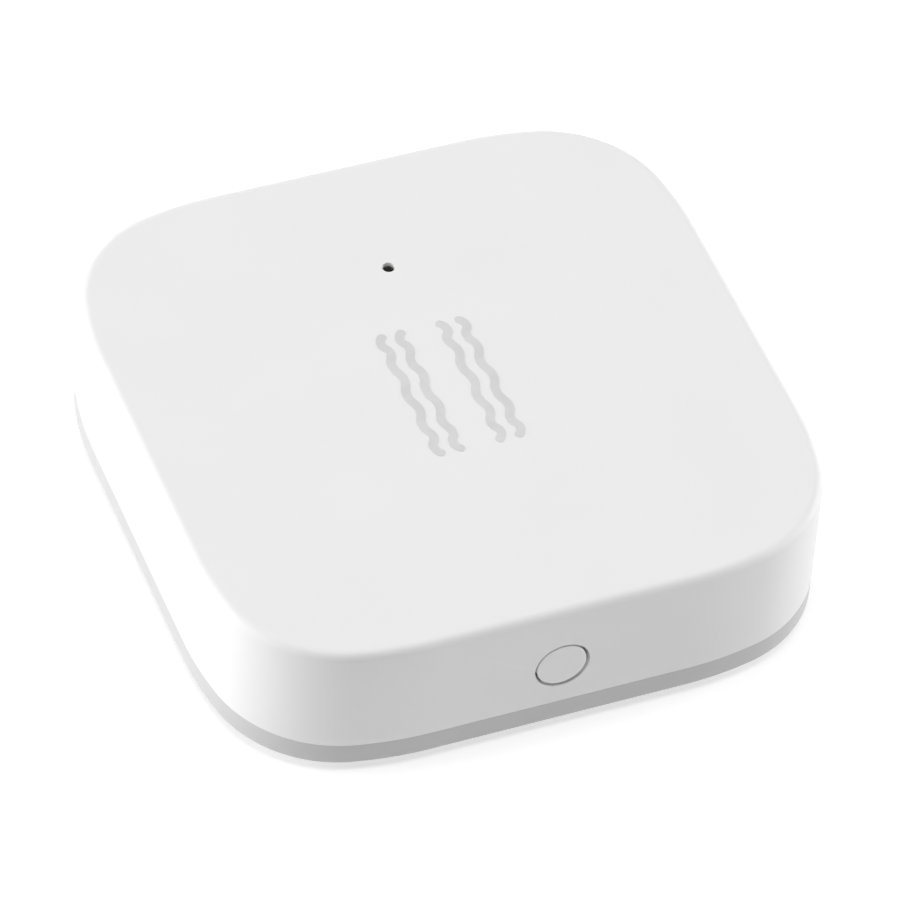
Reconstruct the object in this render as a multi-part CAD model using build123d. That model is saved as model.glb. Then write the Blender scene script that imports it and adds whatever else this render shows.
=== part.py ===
from build123d import *
import math
import os

# Vibration sensor tag: a square sensor with soft corners, stuck down by a foam pad.
# All lengths are in millimetres. Z is up, z = 0 is the pad's underside, and the
# button faces -Y. The origin is under the middle of the square.

# Plan of the outside
footprint = 36.0
side_arc_radius = 21.0
side_arc_turn = 11.84
tip_arc_radius = 7.52

# Base cover
band_height = 1.52
floor_thickness = 1.0
base_edge_radius = 0.3
lip_side_gap = 0.3
lip_thickness = 1.0
lip_height = 2.2
hook_place = 5.6
hook_width = 3.0
hook_reach = 0.24
hook_height = 0.7
hook_top_gap = 0.4
relief_width = 0.7
notch_width = 7.0
notch_depth = 0.8
notch_height = 0.7
cell_rib_radius = 8.6
cell_rib_thickness = 0.7
cell_rib_break = 3.0

# Adhesive pad
pad_stand_off = 0.5
pad_recess_depth = 0.15
pad_margin = 2.8
pad_side_gap = 0.15

# Foam cushion under the cell
cushion_thickness = 0.3
cushion_diameter = 12.0
cushion_cell_gap = 0.1

# Top housing
seam_gap = 0.03
side_wall = 1.3
side_draft = 0.72
roof_thickness = 1.2
roof_edge_radius = 0.55
ceiling_edge_radius = 0.5
catch_depth = 0.22
catch_side_gap = 0.3
catch_height_gap = 0.15
ledge_length = 4.0
ledge_reach = 1.0
boss_diameter = 3.0
post_diameter = 1.4
stake_diameter = 2.2
stake_height = 0.5
fixing_corner_gap = 1.6
rail_thickness = 0.7
rail_reach = 0.95
guide_boss_diameter = 3.2

# Coin cell
cell_diameter = 20.0
cell_height = 3.2
cell_place = 1.6
can_wall = 0.25
can_edge_radius = 0.4
crimp_reach = 0.6
crimp_drop = 0.3
gasket_thickness = 0.75
cap_edge_radius = 0.3
cap_skirt_gap = 0.6
gasket_lip_gap = 0.05
electrode_gap = 0.15
cathode_thickness = 1.6

# Battery holder and contacts
ring_cell_gap = 0.1
ring_wall = 1.0
ring_floor_gap = 0.6
ring_notch_width = 7.0
ring_notch_height = 2.2
ring_window_gap = 0.5
contact_thickness = 0.2
contact_cell_gap = 0.05
contact_bend_radius = 0.3
side_contact_width = 3.0
side_contact_foot = 2.0
side_contact_ring_gap = 0.3
side_contact_drop = 2.6
side_contact_nose_rise = 0.9
leaf_width = 3.0
leaf_length = 10.0
leaf_rise = 0.6
leaf_flat_share = 0.6
leaf_bow_share = 0.25

# Main board
board_thickness = 0.8
board_side_gap = 0.55
board_notch_gap = 0.3
headroom = 1.48
post_hole_gap = 0.05
screw_hole_gap = 0.2

# Board screws
screw_diameter = 1.2
screw_head_diameter = 2.4
screw_head_height = 0.8
screw_bite = 1.2
screw_cross_width = 0.32
screw_cross_depth = 0.45
screw_edge_radius = 0.2

# Side switch
switch_width = 4.4
switch_depth = 2.6
switch_height = 1.6
switch_wall = 0.3
switch_floor = 0.2
cover_thickness = 0.15
cover_cheek_drop = 0.3
plunger_width = 1.7
plunger_height = 0.8
plunger_reach = 0.65
plunger_fit = 0.06
plunger_collar_width = 2.5
plunger_collar_thickness = 0.3
dome_diameter = 1.1
dome_height = 0.22
dome_thickness = 0.06
dome_gap = 0.06

# Button cap
button_diameter = 2.94
button_fit = 0.08
button_proud = 0.02
button_edge_radius = 0.1
button_travel = 0.25
flange_width = 4.4
flange_height = 3.8
flange_thickness = 0.6
flange_corner_radius = 0.8
flange_wall_gap = 0.05
flange_rail_gap = 0.08
plunger_cap_gap = 0.05
hole_edge_break = 0.04

# Light pipe and status light
light_place = 9.35
light_hole_diameter = 0.68
pipe_nose_gap = 0.03
pipe_nose_recess = 0.25
pipe_roof_skin = 0.75
pipe_body_diameter = 1.3
pipe_body_gap = 0.03
pipe_flange_diameter = 2.2
pipe_flange_thickness = 0.38
pipe_light_gap = 0.05
led_length = 1.6
led_width = 0.8
led_height = 0.45
led_end_length = 0.3

# Printed sign of four wavy lines
wave_centre = -0.29
wave_inner_place = 1.27
wave_outer_place = 2.41
wave_amplitude = 0.135
wave_hook = 0.24
wave_half_length = 4.6
wave_stroke_width = 0.53
print_thickness = 0.02
wave_turn_shares = (0.265, 0.513, 0.733, 0.889)

# Packages on the board: plan size, height and place. A place is a share of the board's half side.
radio_chip_side = 6.0
radio_chip_height = 0.85
radio_chip_lead_count = 10
radio_chip_place_shares = (-0.27, -0.12)
memory_chip_length = 4.0
memory_chip_width = 3.0
memory_chip_height = 0.6
memory_chip_lead_count = 4
memory_chip_place_shares = (-0.30, -0.58)
accelerometer_side = 3.0
accelerometer_height = 1.0
accelerometer_lead_count = 4
accelerometer_place_shares = (0.24, -0.18)
radio_crystal_length = 3.2
radio_crystal_width = 2.5
radio_crystal_height = 0.75
radio_crystal_place_shares = (-0.68, -0.12)
clock_crystal_length = 3.2
clock_crystal_width = 1.5
clock_crystal_height = 0.8
clock_crystal_place_shares = (-0.70, 0.14)
crystal_lid_margin = 0.2
crystal_lid_height = 0.12
inductor_side = 3.0
inductor_height = 1.1
inductor_place_shares = (0.30, -0.66)
inductor_corner_radius = 0.5
bulk_capacitor_length = 3.5
bulk_capacitor_width = 2.8
bulk_capacitor_height = 1.2
bulk_capacitor_place_shares = (0.66, -0.46)
package_edge_break = 0.08
lead_pitch = 0.5
lead_width = 0.25
lead_reach = 0.2
lead_thickness = 0.15

# Chip resistors and capacitors in rows
chip_length = 1.0
chip_width = 0.5
chip_pitch = 1.0
capacitor_height = 0.5
resistor_height = 0.35
chip_end_length = 0.22
capacitor_row_shares = ((-0.27, 0.17), (-0.66, -0.38), (0.26, 0.06), (0.66, -0.18))
capacitor_row_counts = (5, 4, 3, 3)
resistor_row_shares = ((-0.60, -0.52), (0.02, -0.60), (0.62, 0.10))
resistor_row_counts = (3, 4, 4)

# Printed antenna and test pads
antenna_edge_gap = 0.6
antenna_depth = 2.6
antenna_stroke = 0.6
antenna_pitch = 1.6
antenna_strokes = 10
antenna_feed_length = 2.6
copper_thickness = 0.05
test_pad_diameter = 1.4
test_pad_place_shares = ((0.30, -0.82), (0.41, -0.82), (0.52, -0.82))

# One overrun for every cut
overrun = 1.0

# Levels above the pad's underside
base_level = pad_stand_off
floor_level = base_level + floor_thickness
seam_level = base_level + band_height
housing_level = seam_level + seam_gap
lip_level = seam_level + lip_height
cell_level = floor_level + cushion_thickness + cushion_cell_gap
cell_top_level = cell_level + cell_height
board_level = cell_top_level + leaf_rise
board_top_level = board_level + board_thickness
ceiling_level = board_top_level + headroom
roof_level = ceiling_level + roof_thickness
button_level = board_level - switch_height / 2

# Half sides and faces in plan
outer_half = footprint / 2
inner_half = outer_half - side_wall
lip_half = inner_half - lip_side_gap
board_half = inner_half - board_side_gap
pad_recess_half = outer_half - pad_margin
button_wall_half = outer_half - (button_level - housing_level) * math.tan(math.radians(side_draft))
button_face = -(button_wall_half + button_proud)
flange_front = -(inner_half - flange_wall_gap)
flange_back = flange_front + flange_thickness
plunger_tip = flange_back + plunger_cap_gap
switch_front = plunger_tip + plunger_reach
board_notch_edge = flange_back + button_travel + board_notch_gap
rail_inner = flange_width / 2 + flange_rail_gap
rail_outer = rail_inner + rail_thickness
cell_radius = cell_diameter / 2
can_inner_radius = cell_radius - can_wall
cap_radius = can_inner_radius - gasket_thickness
electrode_radius = cap_radius - can_wall - electrode_gap
ring_inner_radius = cell_radius + ring_cell_gap
ring_outer_radius = ring_inner_radius + ring_wall
pipe_level = board_top_level + led_height + pipe_light_gap
guide_boss_level = pipe_level + pipe_flange_thickness


def corner_arcs(half_side):
    """Both radii of a corner and the places of their centres and of the straight run's end."""
    inset = outer_half - half_side
    soft = side_arc_radius - inset
    tight = tip_arc_radius - inset
    turn = math.radians(side_arc_turn)
    soft_centre = half_side - soft
    tight_centre = soft_centre + (soft - tight) * math.cos(turn)
    run_end = tight_centre - (soft - tight) * math.sin(turn)
    return soft, tight, soft_centre, tight_centre, run_end


def corner_reach(half_side):
    """How far the outline reaches along X, and along Y, at the middle of a corner."""
    tight, tight_centre = corner_arcs(half_side)[1::2]
    return tight_centre + tight * math.cos(math.pi / 4)


def rounded_plan(half_side):
    """Square outline of one half side, each corner three tangent arcs, set in from the footprint."""
    soft, tight, soft_centre, tight_centre, run_end = corner_arcs(half_side)
    edges = []
    for quarter in range(4):
        corner = [
            CenterArc((soft_centre, run_end), soft, 0, side_arc_turn),
            CenterArc((tight_centre, tight_centre), tight, side_arc_turn, 90 - 2 * side_arc_turn),
            CenterArc((run_end, soft_centre), soft, 90 - side_arc_turn, side_arc_turn),
            Line((run_end, half_side), (-run_end, half_side)),
        ]
        edges += [edge.rotate(Axis.Z, 90 * quarter) for edge in corner]
    return make_face(Wire(edges))


def prism(half_side, bottom, top, taper=0):
    """Solid on the rounded plan between two levels."""
    return extrude(Pos(0, 0, bottom) * rounded_plan(half_side), amount=top - bottom, taper=taper)


def block(x_span, y_span, z_span):
    """Box between two limits on each axis."""
    size = [limits[1] - limits[0] for limits in (x_span, y_span, z_span)]
    middle = [(limits[1] + limits[0]) / 2 for limits in (x_span, y_span, z_span)]
    return Pos(*middle) * Box(*size)


def disc(radius, x_place, y_place, bottom, top):
    """Upright cylinder between two levels."""
    lift = (bottom + top) / 2
    return Pos(x_place, y_place, lift) * Cylinder(radius, top - bottom)


def around(half_width, depth_span, z_span, place=0.0):
    """Four boxes, one at each side, spread along the side about a place."""
    sides = []
    for quarter in range(4):
        one = block((place - half_width, place + half_width), depth_span, z_span)
        sides.append(Rot(0, 0, 90 * quarter) * one)
    return sides


def share_place(shares, reach):
    """Place on the board from shares of its half side."""
    return shares[0] * reach, shares[1] * reach


def strip(points, thickness, bend_radius, width):
    """Bent sheet metal: a rounded path in the XZ plane, thickened and spread along Y."""
    path = FilletPolyline(*points, radius=bend_radius)
    section = make_face(path.offset_2d(thickness / 2, side=Side.BOTH))
    return extrude(Rot(90, 0, 0) * section, amount=width / 2, both=True)


def hook_ridges():
    """Ridges on the lip that snap into the housing's catches, two on each side."""
    top = lip_level - hook_top_gap
    outline = Polyline(
        (lip_half - lip_thickness / 2, top - hook_height),
        (lip_half, top - hook_height),
        (lip_half + hook_reach, top - hook_height / 2),
        (lip_half, top),
        (lip_half - lip_thickness / 2, top),
        close=True,
    )
    ridge = extrude(Rot(90, 0, 0) * make_face(outline), amount=hook_width / 2, both=True)
    ridges = []
    for quarter in range(4):
        for hand in (-1, 1):
            ridges.append(Rot(0, 0, 90 * quarter) * Pos(0, hand * hook_place, 0) * ridge)
    return ridges


def cell_rib():
    """Low ring on the floor that stops the cell, broken at four places."""
    rib_top = cell_level - cushion_cell_gap
    ring = disc(cell_rib_radius, 0, 0, floor_level, rib_top)
    ring -= disc(cell_rib_radius - cell_rib_thickness, 0, 0, floor_level, rib_top)
    for hand in (0, 90):
        cut = block(
            (-cell_rib_radius - overrun, cell_rib_radius + overrun),
            (-cell_rib_break / 2, cell_rib_break / 2),
            (floor_level, rib_top),
        )
        ring -= Rot(0, 0, hand + 45) * cut
    return Pos(0, cell_place, 0) * ring


def make_base_cover():
    """Cover with a rim band, a snap lip inside the housing and a recess for the pad."""
    band = prism(outer_half, base_level, seam_level)
    band = fillet(band.edges().group_by(Axis.Z)[0], base_edge_radius)
    cover = band + prism(lip_half, floor_level, lip_level)
    cover -= prism(lip_half - lip_thickness, floor_level, lip_level + overrun)
    cover -= prism(pad_recess_half, base_level - overrun, base_level + pad_recess_depth)
    for ridge in hook_ridges():
        cover += ridge
    lip_span = (lip_half - lip_thickness - overrun, inner_half)
    for hand in (-1, 1):
        for edge in (-1, 1):
            place = hand * hook_place + edge * (hook_width + relief_width) / 2
            for slot in around(relief_width / 2, lip_span, (seam_level, lip_level + overrun), place):
                cover -= slot
    opening = hook_place - (hook_width + relief_width) / 2
    front_span = (-inner_half, -(lip_half - lip_thickness - overrun))
    cover -= block((-opening, opening), front_span, (seam_level, lip_level + overrun))
    back_span = (outer_half - notch_depth, outer_half + overrun)
    notch = block((-notch_width / 2, notch_width / 2), back_span, (seam_level - notch_height, seam_level))
    notch = fillet(notch.edges().filter_by(Axis.Z).group_by(Axis.Y)[0], notch_depth / 2)
    return cover - notch + cell_rib()


def make_adhesive_pad():
    """Foam pad with glue on both faces, seated in the cover's recess."""
    return prism(pad_recess_half - pad_side_gap, 0, base_level + pad_recess_depth)


def make_cell_cushion():
    """Foam disc on the cover's floor."""
    return disc(cushion_diameter / 2, 0, cell_place, floor_level, floor_level + cushion_thickness)


def catch_pockets():
    """Shallow pockets in the housing's side walls that take the hook ridges."""
    top = lip_level - hook_top_gap + catch_height_gap
    bottom = top - hook_height - 2 * catch_height_gap
    depth_span = (inner_half - overrun, inner_half + catch_depth)
    pockets = []
    for hand in (-1, 1):
        half_width = hook_width / 2 + catch_side_gap
        pockets += around(half_width, depth_span, (bottom, top), hand * hook_place)
    return pockets


def board_ledges():
    """Ribs on the side and back walls that the board's top edge stops against."""
    depth_span = (inner_half - ledge_reach, inner_half + side_wall / 2)
    ledges = around(ledge_length / 2, depth_span, (board_top_level, ceiling_level))
    return [ledges[0], ledges[1], ledges[3]]


def fixing_places():
    """Corner places of the two screws and of the two staked posts."""
    place = corner_reach(board_half) - fixing_corner_gap
    screws = [(-place, place), (place, -place)]
    posts = [(place, place), (-place, -place)]
    return screws, posts


def button_rails():
    """Two rails from the ceiling that guide the button's flange."""
    bottom = button_level - flange_height / 2
    y_span = (-inner_half - side_wall / 2, -inner_half + rail_reach)
    rails = []
    for hand in (-1, 1):
        x_span = sorted((hand * rail_inner, hand * rail_outer))
        rails.append(block(x_span, y_span, (bottom, ceiling_level)))
    return rails


def make_top_housing():
    """White shell with its bosses, posts, rails, catches and the holes for button and light."""
    shell = prism(outer_half, housing_level, roof_level, side_draft)
    shell = fillet(shell.edges().group_by(Axis.Z)[-1], roof_edge_radius)
    cavity = prism(inner_half, housing_level - overrun, ceiling_level)
    cavity = fillet(cavity.edges().group_by(Axis.Z)[-1], ceiling_edge_radius)
    shell -= cavity
    for pocket in catch_pockets():
        shell -= pocket
    for ledge in board_ledges():
        shell += ledge
    screws, posts = fixing_places()
    for x_place, y_place in screws:
        shell += disc(boss_diameter / 2, x_place, y_place, board_top_level, ceiling_level)
        shell -= disc(screw_diameter / 2, x_place, y_place, board_top_level, board_top_level + screw_bite)
    for x_place, y_place in posts:
        shell += disc(boss_diameter / 2, x_place, y_place, board_top_level, ceiling_level)
        shell += disc(post_diameter / 2, x_place, y_place, board_level, board_top_level)
        stake = disc(stake_diameter / 2, x_place, y_place, board_level - stake_height, board_level)
        shell += fillet(stake.edges().group_by(Axis.Z)[0], stake_height / 2)
    for rail in button_rails():
        shell += rail
    shell += disc(guide_boss_diameter / 2, 0, light_place, guide_boss_level, ceiling_level)
    shell -= disc(light_hole_diameter / 2, 0, light_place, ceiling_level, roof_level + overrun)
    bore_radius = pipe_body_diameter / 2 + pipe_body_gap
    shell -= disc(bore_radius, 0, light_place, guide_boss_level - overrun, roof_level - pipe_roof_skin)
    hole_radius = button_diameter / 2 + button_fit
    hole = Rot(90, 0, 0) * Cylinder(hole_radius, side_wall + 2 * overrun)
    shell -= Pos(0, -inner_half - side_wall / 2, button_level) * hole
    flare = Rot(90, 0, 0) * Cone(hole_radius, hole_radius + 2 * hole_edge_break, 2 * hole_edge_break)
    return shell - Pos(0, -button_wall_half, button_level) * flare


def make_button_cap():
    """Round key with a flange behind the wall."""
    stem_length = flange_back - button_face
    stem = Rot(90, 0, 0) * Cylinder(button_diameter / 2, stem_length)
    stem = Pos(0, button_face + stem_length / 2, button_level) * stem
    stem = fillet(stem.edges().group_by(Axis.Y)[0], button_edge_radius)
    flange = block(
        (-flange_width / 2, flange_width / 2),
        (flange_front, flange_back),
        (button_level - flange_height / 2, button_level + flange_height / 2),
    )
    flange = fillet(flange.edges().filter_by(Axis.Y), flange_corner_radius)
    return stem + flange


def wave_stroke(place, hand):
    """One wavy line as a flat stroke with round ends, hand says which way its middle swings."""
    upper = [(place + hand * wave_amplitude, 0)]
    side = -hand
    for share in wave_turn_shares:
        upper.append((place + side * wave_amplitude, share * wave_half_length))
        side = -side
    lower = [(x_place, -y_place) for x_place, y_place in reversed(upper[1:])]
    turns = lower + upper
    path = []
    for start, end in zip(turns, turns[1:]):
        middle = ((start[0] + end[0]) / 2, (start[1] + end[1]) / 2)
        first = TangentArc(start, middle, tangent=(0, 1))
        path += [first, TangentArc(middle, end, tangent=first % 1)]
    top = upper[-1]
    end_x = top[0] - hand * wave_hook
    tail = TangentArc(top, (end_x, wave_half_length), tangent=(0, 1))
    foot = TangentArc((top[0], -top[1]), (end_x, -wave_half_length), tangent=(0, -1))
    line = Wire([foot] + path + [tail])
    return make_face(line.offset_2d(wave_stroke_width / 2, kind=Kind.ARC, side=Side.BOTH))


def make_vibration_icon():
    """Printed sign on the roof: two wavy lines on each side of the middle, mirrored."""
    lines = []
    for place in (wave_inner_place, wave_outer_place):
        for hand in (-1, 1):
            stroke = Pos(0, wave_centre, roof_level) * wave_stroke(hand * place, hand)
            lines.append(extrude(stroke, amount=print_thickness))
    return Compound(lines)


def make_light_pipe():
    """Smoked clear plug between the status light and the hole in the roof."""
    shoulder_level = roof_level - pipe_roof_skin
    nose_radius = light_hole_diameter / 2 - pipe_nose_gap
    pipe = disc(pipe_body_diameter / 2, 0, light_place, pipe_level, shoulder_level)
    pipe += disc(nose_radius, 0, light_place, shoulder_level, roof_level - pipe_nose_recess)
    return pipe + disc(pipe_flange_diameter / 2, 0, light_place, pipe_level, guide_boss_level)


def make_main_board():
    """Board with a notch for the button's flange and holes for screws and posts."""
    board = prism(board_half, board_level, board_top_level)
    notch_half = rail_outer + board_notch_gap
    notch_span = (-board_half - overrun, board_notch_edge)
    board -= block((-notch_half, notch_half), notch_span, (board_level, board_top_level))
    screws, posts = fixing_places()
    for x_place, y_place in screws:
        board -= disc(screw_diameter / 2 + screw_hole_gap, x_place, y_place, board_level, board_top_level)
    for x_place, y_place in posts:
        board -= disc(post_diameter / 2 + post_hole_gap, x_place, y_place, board_level, board_top_level)
    return board


def package(length, width, height, shares, edge_break=package_edge_break):
    """Moulded package standing on the board, its top edges broken."""
    x_place, y_place = share_place(shares, board_half)
    body = block(
        (x_place - length / 2, x_place + length / 2),
        (y_place - width / 2, y_place + width / 2),
        (board_top_level, board_top_level + height),
    )
    return chamfer(body.edges().group_by(Axis.Z)[-1], edge_break)


def crystal(length, width, height, shares):
    """Ceramic package with a metal lid set in from its edges."""
    body = package(length, width, height - crystal_lid_height, shares, crystal_lid_height)
    x_place, y_place = share_place(shares, board_half)
    lid = block(
        (x_place - length / 2 + crystal_lid_margin, x_place + length / 2 - crystal_lid_margin),
        (y_place - width / 2 + crystal_lid_margin, y_place + width / 2 - crystal_lid_margin),
        (board_top_level + height - crystal_lid_height, board_top_level + height),
    )
    return body + lid


def make_power_inductor():
    """Square shielded coil with round corners."""
    plan = RectangleRounded(inductor_side, inductor_side, inductor_corner_radius)
    x_place, y_place = share_place(inductor_place_shares, board_half)
    coil = extrude(Pos(x_place, y_place, board_top_level) * plan, amount=inductor_height)
    return chamfer(coil.edges().group_by(Axis.Z)[-1], package_edge_break)


def lead_row(count, edge, shares, turn):
    """Leads that stand out from one edge of a package, turned about its middle."""
    x_place, y_place = share_place(shares, board_half)
    leads = []
    for index in range(count):
        along = (index - (count - 1) / 2) * lead_pitch
        lead = block(
            (along - lead_width / 2, along + lead_width / 2),
            (edge, edge + lead_reach),
            (board_top_level, board_top_level + lead_thickness),
        )
        leads.append(Pos(x_place, y_place, 0) * Rot(0, 0, turn) * lead)
    return leads


def make_chip_leads():
    """Leads of the radio chip, the memory chip and the accelerometer."""
    leads = []
    for turn in (0, 90, 180, 270):
        leads += lead_row(radio_chip_lead_count, radio_chip_side / 2, radio_chip_place_shares, turn)
        leads += lead_row(accelerometer_lead_count, accelerometer_side / 2, accelerometer_place_shares, turn)
    for turn in (90, 270):
        leads += lead_row(memory_chip_lead_count, memory_chip_length / 2, memory_chip_place_shares, turn)
    return Compound(leads)


def chip_places(rows, counts):
    """Middles of the chips in each row, one pitch apart along Y."""
    places = []
    for shares, count in zip(rows, counts):
        x_place, y_place = share_place(shares, board_half)
        for index in range(count):
            places.append((x_place + (index - (count - 1) / 2) * chip_pitch, y_place))
    return places


def chip_bodies(rows, counts, height):
    """Ceramic middles of the chips in the given rows."""
    half_length = chip_length / 2 - chip_end_length
    bodies = []
    for x_place, y_place in chip_places(rows, counts):
        body = block(
            (x_place - chip_width / 2, x_place + chip_width / 2),
            (y_place - half_length, y_place + half_length),
            (board_top_level, board_top_level + height),
        )
        bodies.append(body)
    return Compound(bodies)


def chip_ends(rows, counts, height):
    """Tinned ends of the chips in the given rows."""
    ends = []
    for x_place, y_place in chip_places(rows, counts):
        for hand in (-1, 1):
            inner = hand * (chip_length / 2 - chip_end_length)
            outer = hand * chip_length / 2
            y_span = sorted((y_place + inner, y_place + outer))
            x_span = (x_place - chip_width / 2, x_place + chip_width / 2)
            ends.append(block(x_span, y_span, (board_top_level, board_top_level + height)))
    return ends


def make_chip_terminals():
    """Tinned ends of all resistors and capacitors."""
    ends = chip_ends(capacitor_row_shares, capacitor_row_counts, capacitor_height)
    ends += chip_ends(resistor_row_shares, resistor_row_counts, resistor_height)
    return Compound(ends)


def make_antenna_trace():
    """Copper trace that runs to and fro along the back edge of the board."""
    back = board_half - antenna_edge_gap
    front = back - antenna_depth
    z_span = (board_top_level, board_top_level + copper_thickness)
    start = -(antenna_strokes - 1) / 2 * antenna_pitch
    trace_body = None
    for index in range(antenna_strokes):
        middle = start + index * antenna_pitch
        x_span = (middle - antenna_stroke / 2, middle + antenna_stroke / 2)
        stroke = block(x_span, (front, back), z_span)
        trace_body = stroke if trace_body is None else trace_body + stroke
        if index + 1 < antenna_strokes:
            link_end = middle + antenna_pitch + antenna_stroke / 2
            edge = back if index % 2 == 0 else front + antenna_stroke
            trace_body += block((x_span[0], link_end), (edge - antenna_stroke, edge), z_span)
    feed_span = (start - antenna_stroke / 2, start + antenna_stroke / 2)
    return trace_body + block(feed_span, (front - antenna_feed_length, front), z_span)


def make_status_led():
    """Small light under the pipe, with its two ends."""
    z_span = (board_top_level, board_top_level + led_height)
    y_span = (light_place - led_width / 2, light_place + led_width / 2)
    body = block((-led_length / 2, led_length / 2), y_span, z_span)
    end = led_length / 2 - led_end_length
    for hand in (-1, 1):
        x_span = sorted((hand * end, hand * led_length))
        body -= block(x_span, y_span, (board_top_level + led_height / 2, board_top_level + led_height))
    return body


def make_test_pads():
    """Gold pads in a row on the board's underside."""
    pads = []
    for shares in test_pad_place_shares:
        x_place, y_place = share_place(shares, board_half)
        pad_level = board_level - copper_thickness
        pads.append(disc(test_pad_diameter / 2, x_place, y_place, pad_level, board_level))
    return Compound(pads)


def plunger_slot(width, height, y_span):
    """Box about the switch's middle line."""
    z_span = (button_level - height / 2, button_level + height / 2)
    return block((-width / 2, width / 2), y_span, z_span)


def switch_levels():
    """Y places of the collar's back, the dome's tip and the dome's seat."""
    collar_front = switch_front + switch_wall + plunger_fit
    collar_back = collar_front + plunger_collar_thickness
    dome_tip = collar_back + button_travel + dome_gap
    return collar_front, collar_back, dome_tip, dome_tip + dome_height + dome_thickness


def make_switch_body():
    """Black switch block under the board with a slot and a chamber for plunger and dome."""
    back = switch_front + switch_depth
    z_span = (board_level - switch_height, board_level)
    body = block((-switch_width / 2, switch_width / 2), (switch_front, back), z_span)
    slot_width = plunger_width + 2 * plunger_fit
    slot_height = plunger_height + 2 * plunger_fit
    body -= plunger_slot(slot_width, slot_height, (switch_front - overrun, switch_front + switch_wall))
    chamber_height = switch_height - 2 * switch_floor
    chamber_width = plunger_collar_width + 2 * plunger_fit
    chamber_span = (switch_front + switch_wall, switch_levels()[3])
    return body - plunger_slot(chamber_width, chamber_height, chamber_span)


def make_switch_cover():
    """Bent steel cover over the switch's lower face and cheeks."""
    bottom = board_level - switch_height
    outer = switch_width / 2 + cover_thickness
    y_span = (switch_front, switch_front + switch_depth)
    cover = block((-outer, outer), y_span, (bottom - cover_thickness, board_level - cover_cheek_drop))
    return cover - block((-switch_width / 2, switch_width / 2), y_span, (bottom, board_level))


def make_switch_dome():
    """Snap dome behind the plunger, a shallow cap seated on the chamber's back wall."""
    tip, seat = switch_levels()[2:]
    radius = dome_diameter / 2
    outer = ThreePointArc((-radius, seat - dome_thickness), (0, tip), (radius, seat - dome_thickness))
    inner = ThreePointArc((-radius, seat), (0, tip + dome_thickness), (radius, seat))
    rim = [Line((hand * radius, seat - dome_thickness), (hand * radius, seat)) for hand in (-1, 1)]
    section = make_face(Wire([outer, inner] + rim))
    keep = Pos(radius, seat, 0) * Rectangle(2 * radius, 2 * radius)
    dome = revolve(section & keep, Axis.Y)
    return Pos(0, 0, button_level) * dome


def make_switch_plunger():
    """Push piece of the switch, with a collar that keeps it in the chamber."""
    collar_front, collar_back = switch_levels()[:2]
    stem = plunger_slot(plunger_width, plunger_height, (plunger_tip, collar_back))
    collar_height = switch_height - 2 * switch_floor - 2 * plunger_fit
    return stem + plunger_slot(plunger_collar_width, collar_height, (collar_front, collar_back))


def make_battery_holder():
    """Ring under the board round the cell, with a finger notch and a contact window."""
    bottom = floor_level + ring_floor_gap
    ring = disc(ring_outer_radius, 0, cell_place, bottom, board_level)
    ring -= disc(ring_inner_radius, 0, cell_place, bottom, board_level)
    notch_span = (cell_place - ring_outer_radius - overrun, cell_place)
    ring -= Pos(0, cell_place, 0) * Rot(0, 0, 45) * Pos(0, -cell_place, 0) * block(
        (-ring_notch_width / 2, ring_notch_width / 2),
        notch_span,
        (bottom, bottom + ring_notch_height),
    )
    window_half = side_contact_width / 2 + ring_window_gap
    window_span = (cell_place - window_half, cell_place + window_half)
    return ring - block((-ring_outer_radius - overrun, 0), window_span, (bottom, board_level))


def make_positive_contact():
    """Bent spring beside the ring that presses the can's wall through the window."""
    nose_x = -(cell_radius + contact_cell_gap + contact_thickness / 2)
    leg_x = -(ring_outer_radius + side_contact_ring_gap)
    foot_level = board_level - contact_thickness / 2
    low_level = board_level - side_contact_drop
    points = [
        (leg_x - side_contact_foot, foot_level),
        (leg_x, foot_level),
        (leg_x, low_level),
        (nose_x, low_level + side_contact_nose_rise),
    ]
    return Pos(0, cell_place, 0) * strip(points, contact_thickness, contact_bend_radius, side_contact_width)


def make_negative_contact():
    """Bowed leaf under the board that presses the cell's cap."""
    half = leaf_length / 2
    flat = half * leaf_flat_share
    bow = half * leaf_bow_share
    top = board_level - contact_thickness / 2
    low = cell_top_level + contact_cell_gap + contact_thickness / 2
    points = [(-half, top), (-flat, top), (-bow, low), (bow, low), (flat, top), (half, top)]
    return Pos(0, cell_place, 0) * strip(points, contact_thickness, contact_bend_radius, leaf_width)


def make_board_screws():
    """Two self-tapping screws with cross recesses."""
    screws = []
    for x_place, y_place in fixing_places()[0]:
        head = disc(screw_head_diameter / 2, x_place, y_place, board_level - screw_head_height, board_level)
        head = fillet(head.edges().group_by(Axis.Z)[0], screw_edge_radius)
        z_span = (board_level - screw_head_height, board_level - screw_head_height + screw_cross_depth)
        reach = screw_head_diameter / 2 - 2 * screw_edge_radius
        arm = screw_cross_width / 2
        head -= block((x_place - reach, x_place + reach), (y_place - arm, y_place + arm), z_span)
        head -= block((x_place - arm, x_place + arm), (y_place - reach, y_place + reach), z_span)
        shank = disc(screw_diameter / 2, x_place, y_place, board_level, board_top_level + screw_bite)
        screws.append(head + shank)
    return Compound(screws)


def turned(points):
    """Body turned about the cell's axis from its half section."""
    section = make_face(Polyline(*points, close=True))
    return Pos(0, cell_place, cell_level) * revolve(Rot(90, 0, 0) * section, Axis.Z)


def make_cell_can():
    """Positive can: a cup with its rim crimped over the gasket."""
    rim = cell_height - crimp_drop
    inner = can_inner_radius
    points = [
        (0, 0), (cell_radius, 0), (cell_radius, rim - can_edge_radius), (cell_radius - can_edge_radius, rim),
        (cell_radius - crimp_reach, rim), (cell_radius - crimp_reach, rim - can_wall),
        (inner, rim - can_edge_radius - can_wall / 2), (inner, can_wall), (0, can_wall),
    ]
    can = turned(points)
    return fillet(can.edges().group_by(Axis.Z)[0], can_edge_radius)


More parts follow.
